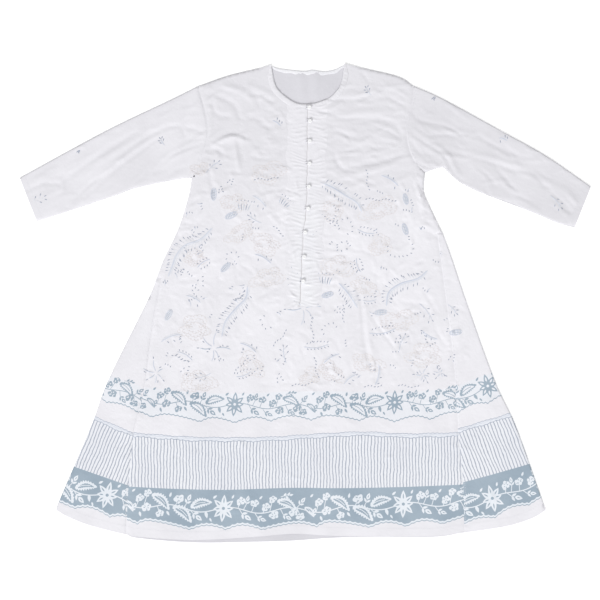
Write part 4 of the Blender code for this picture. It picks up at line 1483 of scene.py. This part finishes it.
# Embroidered figures: place, size and turn in degrees
Figure = namedtuple("Figure", "kind x y size turn")
FIGURES = [Figure(*row) for row in (
    ("chain", 98, 166, 52, -2),
    ("chain", 98, 212, 32, -84),
    ("stroke", 122, 204, 32, -32),
    ("oval", 161, 166, 18, -76),
    ("oval", 160, 118, 19, -72),
    ("oval", 121, -15, 20, 6),
    ("oval", 36, 13, 19, 16),
    ("oval", -127, 57, 19, 44),
    ("oval", -118, 140, 21, 24),
    ("oval", -218, -19, 19, 60),
    ("oval", -146, 174, 20, 88),
    ("oval", 241, -47, 20, 8),
    ("burst", -2, -8, 46, 20),
    ("burst", -14, 39, 26, 50),
    ("burst", -146, -72, 44, 10),
    ("burst", 188, -115, 20, 0),
    ("burst", 216, -112, 18, 40),
    ("stroke", -104, -64, 30, -30),
    ("sprig", -2, -70, 40, 6),
    ("chain", -50, -68, 34, 48),
    ("chain", 9, -20, 42, -84),
    ("chain", 61, -4, 28, -88),
    ("sprig", 92, 4, 22, 4),
    ("twig", 182, 0, 34, -52),
    ("sprig", 102, -48, 44, 10),
    ("twig", 228, -2, 20, -46),
    ("curl", 152, 92, 44, 185),
    ("curl", 62, 88, 24, 20),
    ("curl", 60, 92, 20, 200),
    ("sprig", 84, 118, 28, -14),
    ("curl", 64, 122, 28, -70),
    ("chain", 22, 142, 32, -26),
    ("twig", 0, 104, 20, 42),
    ("stroke", -84, 172, 30, -42),
    ("comb", -36, 156, 20, 52),
    ("comb", -98, 148, 22, 84),
    ("chain", -80, 197, 38, 4),
    ("twig", -158, 208, 26, 42),
    ("cluster", -118, 194, 12, 0),
    ("cluster", -134, 181, 12, 40),
    ("chain", -50, 122, 26, -42),
    ("curl", -116, 72, 22, 10),
    ("stroke", -80, 78, 30, -30),
    ("sprig", -152, 70, 24, 214),
    ("cluster", -166, 34, 20, 20),
    ("cluster", -176, 22, 16, 70),
    ("stroke", -190, 12, 26, -26),
    ("comb", 32, 30, 24, 84),
    ("sprig", 82, 72, 24, -72),
    ("cluster", -72, -108, 18, 0),
    ("chain", 15, -88, 36, -80),
    ("stroke", 62, -130, 26, 38),
    ("stroke", 118, -98, 34, -100),
    ("cluster", 150, -58, 16, 30),
    ("burst", -238, -112, 36, 30),
    ("chain", -212, -84, 30, -20),
    ("cluster", -190, -108, 18, 0),
    ("twig", -150, -112, 24, 200),
    ("sprig", -110, -118, 26, 20),
    ("cluster", -40, -120, 16, 50),
    ("chain", -20, -132, 34, 6),
    ("chain", 96, -134, 30, 4),
    ("cluster", 236, -88, 14, 10),
    ("chain", 150, -132, 34, -4),
    ("stroke", -52, 292, 16, -35),
    ("twig", 106, 332, 14, 125),
    ("twig", -224, 252, 12, 125),
    ("twig", -440, 158, 26, 28),
    ("cluster", 206, 327, 6, 0),
    ("stroke", 310, 264, 14, -20),
    ("twig", 392, 172, 26, -48),
    ("cluster", -362, 242, 5, 0),
    ("lace", -59, 208, 44, 0),
    ("lace", -114, 160, 34, 40),
    ("lace", 118, 150, 44, 90),
    ("lace", 120, 92, 34, 130),
    ("lace", 53, 58, 44, 170),
    ("lace", 190, -84, 46, 210),
    ("lace", 42, -110, 36, 250),
    ("lace", -171, -126, 44, 290),
    ("lace", -64, 94, 40, 330),
    ("lace", -168, 214, 24, 10),
    ("lace", 42, 148, 40, 60),
    ("lace", -60, 40, 40, 100),
    ("lace", 8, -118, 30, 140),
    ("stroke", -230, -62, 34, 20),
    ("sprig", -180, -92, 28, 150),
    ("twig", -30, -96, 26, 100),
    ("stroke", 30, -96, 30, 30),
    ("twig", 150, -78, 28, 70),
    ("stroke", 212, -58, 30, 150),
    ("chain", 186, -44, 26, -60),
    ("chain", -96, -92, 28, -130),
    ("curl", 40, -44, 26, 30),
    ("curl", -60, -30, 24, 120),
    ("twig", -70, 128, 22, 150),
    ("lace", 150, -28, 44, 20),
    ("lace", -176, -40, 44, 200),
    ("lace", -86, -100, 40, 260),
    ("lace", 100, -96, 38, 300),
    ("lace", -104, 112, 36, 80),
    ("lace", 96, 26, 34, 240),
    ("lace", -176, 72, 30, 120),
)]

SCATTERED_GROUPS = 95
RING_PLACE = 217 + 79j
RING_RADIUS = 2.6
# A small dark dot at the left underarm
DARK_DOT_ENDS = (-178.4 + 201.6j, -176.2 + 203.8j)
DARK_DOT_WIDTH = 2.6

for corners in FROND_CORNERS:
    frond(corners)
for figure in FIGURES:
    STITCHED[figure.kind](figure.x, figure.y, figure.size, math.radians(figure.turn))

scattered(SCATTERED_GROUPS)
sew("pale", RING_PLACE + RING_RADIUS * np.exp(1j * np.linspace(0, 2 * np.pi, 15)), 0.9)
dash(RING_PLACE, 1.0, 1.8, 1.2)
sew("dark_dot", np.linspace(*DARK_DOT_ENDS, 4), DARK_DOT_WIDTH)

EMBROIDERY = [raised(name, colour, rise) for name, colour, rise in (
    ("embroidery_lace", "rose", 0.2),
    ("embroidery_pale", "pale", 0.25),
    ("embroidery_blue", "blue", 0.35),
    ("embroidery_sky", "sky", 0.35),
    ("embroidery_dark", "dark", 0.45),
    ("underarm_dark_dot", "dark_dot", 0.45),
)]

# Sewing stitches: how far inside each edge they run
STITCH_PITCH = 3.6
STITCH_LENGTH = 2.5
STITCH_WIDTH = 0.6
STITCH_RISE = 0.2
SEWN_LINES = [
    (edge(HEM_FRONT), -13.0),
    (edge(GORE_HEM_RIGHT), 13.0),
    (edge(GORE_HEM_LEFT)[::-1], 13.0),
    (edge(SLEEVE_CUFF_RIGHT), -9.0),
    (edge(SLEEVE_CUFF_LEFT), 9.0),
    (edge(ARMHOLE_RIGHT), 3.0),
    (edge(ARMHOLE_LEFT), 3.0),
    (seam_right, 2.4),
    (seam_left, -2.4),
]


def sewn(line, inset):
    """A row of small white stitches beside an edge, plus to its left."""
    line = shifted(line, inset)
    for along in np.arange(2.0, distances(line)[-1] - 2.0, STITCH_PITCH):
        sew("white", at(line, along + np.array([0, STITCH_LENGTH / 2, STITCH_LENGTH])), STITCH_WIDTH)


for line, inset in SEWN_LINES:
    sewn(line, inset)
stitching = raised("sewing_stitches", "white", STITCH_RISE)


# Buttons and loops

# A button's cross-section, outwards and upwards, from its middle to its shank's foot
BUTTON_PROFILE = [
    (0.0, 2.2), (1.4, 2.25), (2.1, 2.55), (2.75, 2.4), (3.2, 1.95), (2.95, 1.6), (1.0, 1.5), (0.9, 0.1),
    (0.0, 0.1)]
BUTTON_TURNS = 24
BUTTON_SHARP_ANGLE = 50
BUTTON_ROUGHNESS = 0.4
BUTTON_CLOUD_SCALE = 300
HOLE_PLACES = (0.75 + 0j, -0.75 + 0j)
HOLE_RADIUS = 0.5
HOLE_HEIGHT = 2.31


def button_material():
    """Polished button, very slightly clouded."""
    made, tree, shader = new_material("button_white", {"Roughness": BUTTON_ROUGHNESS})
    cloud = new_node(tree, "TexNoise", {"Scale": BUTTON_CLOUD_SCALE}).outputs["Fac"]
    set_inputs(tree, shader, {"Base Color": mixed(tree, cloud, tone(246, 246, 247), tone(251, 251, 252))})
    return made


button_white = button_material()


def button(number, x, y):
    """A small button with a rim and two threaded holes, on its shank."""
    turns = np.exp(2j * np.pi * np.arange(BUTTON_TURNS) / BUTTON_TURNS)
    vertices = []
    for radius, height in BUTTON_PROFILE:
        ring = radius * turns
        vertices.append(np.column_stack([ring.real, ring.imag, np.full(BUTTON_TURNS, height)]))
    faces = []
    for row in range(len(BUTTON_PROFILE) - 1):
        for i in range(BUTTON_TURNS):
            a = row * BUTTON_TURNS + i
            b = row * BUTTON_TURNS + (i + 1) % BUTTON_TURNS
            faces.append((a, a + BUTTON_TURNS, b + BUTTON_TURNS, b))
    slots = [0] * len(faces)
    count = len(BUTTON_PROFILE) * BUTTON_TURNS
    for place in HOLE_PLACES:
        ring = place + circle(HOLE_RADIUS)
        vertices.append(np.column_stack([ring.real, ring.imag, np.full(len(ring), HOLE_HEIGHT)]))
        faces.append(tuple(range(count, count + len(ring))))
        slots.append(1)
        count += len(ring)
    vertices = np.vstack(vertices) + np.array([x, y, BUTTON_GROUND])
    obj = new_object(f"button_{number}_face", vertices, faces, [button_white, threads["white"]], slots)
    obj.data.shade_smooth()
    obj.data.set_sharp_from_angle(angle=math.radians(BUTTON_SHARP_ANGLE))
    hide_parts(f"button_{number}")
    return obj


buttons = []
for number, y in enumerate(BUTTON_HEIGHTS_Y, start=1):
    slit_x = np.interp(y, slit.imag[::-1], slit.real[::-1])
    buttons.append(button(number, slit_x + BUTTON_FROM_SLIT, y))
    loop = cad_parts[f"button_loop_{number}"]
    loop.data.materials.clear()
    loop.data.materials.append(threads["white"])


# Floor, light and camera

FULL_WHITE = (1.0, 1.0, 1.0, 1.0)
FLOOR_TONE = (0.97, 0.97, 0.97, 1.0)
FLOOR_GLOW = 0.22
FLOOR_HALF = 20.0
SKY_STRENGTH = 0.57


def floor():
    """The white ground that the dress lies on."""
    mesh = bpy.data.meshes.new("floor")
    corners = [(x * FLOOR_HALF, y * FLOOR_HALF, 0) for x, y in ((-1, -1), (1, -1), (1, 1), (-1, 1))]
    mesh.from_pydata(corners, [], [(0, 1, 2, 3)])
    obj = bpy.data.objects.new("floor", mesh)
    bpy.context.scene.collection.objects.link(obj)
    made, _, _ = new_material("floor_white", {
        "Base Color": FLOOR_TONE, "Roughness": 1.0, "Specular IOR Level": 0.0, "Emission Color": FULL_WHITE,
        "Emission Strength": FLOOR_GLOW})
    mesh.materials.append(made)
    return obj


paper = floor()

world = bpy.data.worlds.new("studio")
world.use_nodes = True
world.node_tree.nodes["Background"].inputs["Color"].default_value = FULL_WHITE
world.node_tree.nodes["Background"].inputs["Strength"].default_value = SKY_STRENGTH
bpy.context.scene.world = world


def sun(name, azimuth, elevation, strength, softness):
    """A lamp far away: where it stands and how wide it is are in degrees."""
    data = bpy.data.lights.new(name, "SUN")
    data.energy = strength
    data.angle = math.radians(softness)
    obj = bpy.data.objects.new(name, data)
    a = math.radians(azimuth)
    e = math.radians(elevation)
    toward = Vector((math.cos(a) * math.cos(e), math.sin(a) * math.cos(e), math.sin(e)))
    obj.rotation_mode = "QUATERNION"
    obj.rotation_quaternion = toward.to_track_quat("Z", "Y")
    bpy.context.scene.collection.objects.link(obj)


sun("key", 240, 36, 2.1, 26)
sun("fill", -40, 60, 0.4, 60)

# Straight above the dress: place in metres, lens and sensor in millimetres, and how far it sees in metres
CAMERA_PLACE = (-0.008, 0.0048, 3.2)
CAMERA_LENS = 120.0
CAMERA_SENSOR = 36.0
CAMERA_REACH = 20.0
camera_data = bpy.data.cameras.new("camera")
camera_data.lens = CAMERA_LENS
camera_data.sensor_width = CAMERA_SENSOR
camera_data.clip_end = CAMERA_REACH
camera = bpy.data.objects.new("camera", camera_data)
camera.location = CAMERA_PLACE
bpy.context.scene.collection.objects.link(camera)
bpy.context.scene.camera = camera
bpy.context.scene.view_settings.view_transform = "Standard"


# Bodies: every piece goes to one body


cloths = [front, back, gore_left, gore_right, sleeve_left, sleeve_right]
for obj in [*cloths, *bindings, *plackets, *EMBROIDERY, *buttons, stitching]:
    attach(obj, "root")
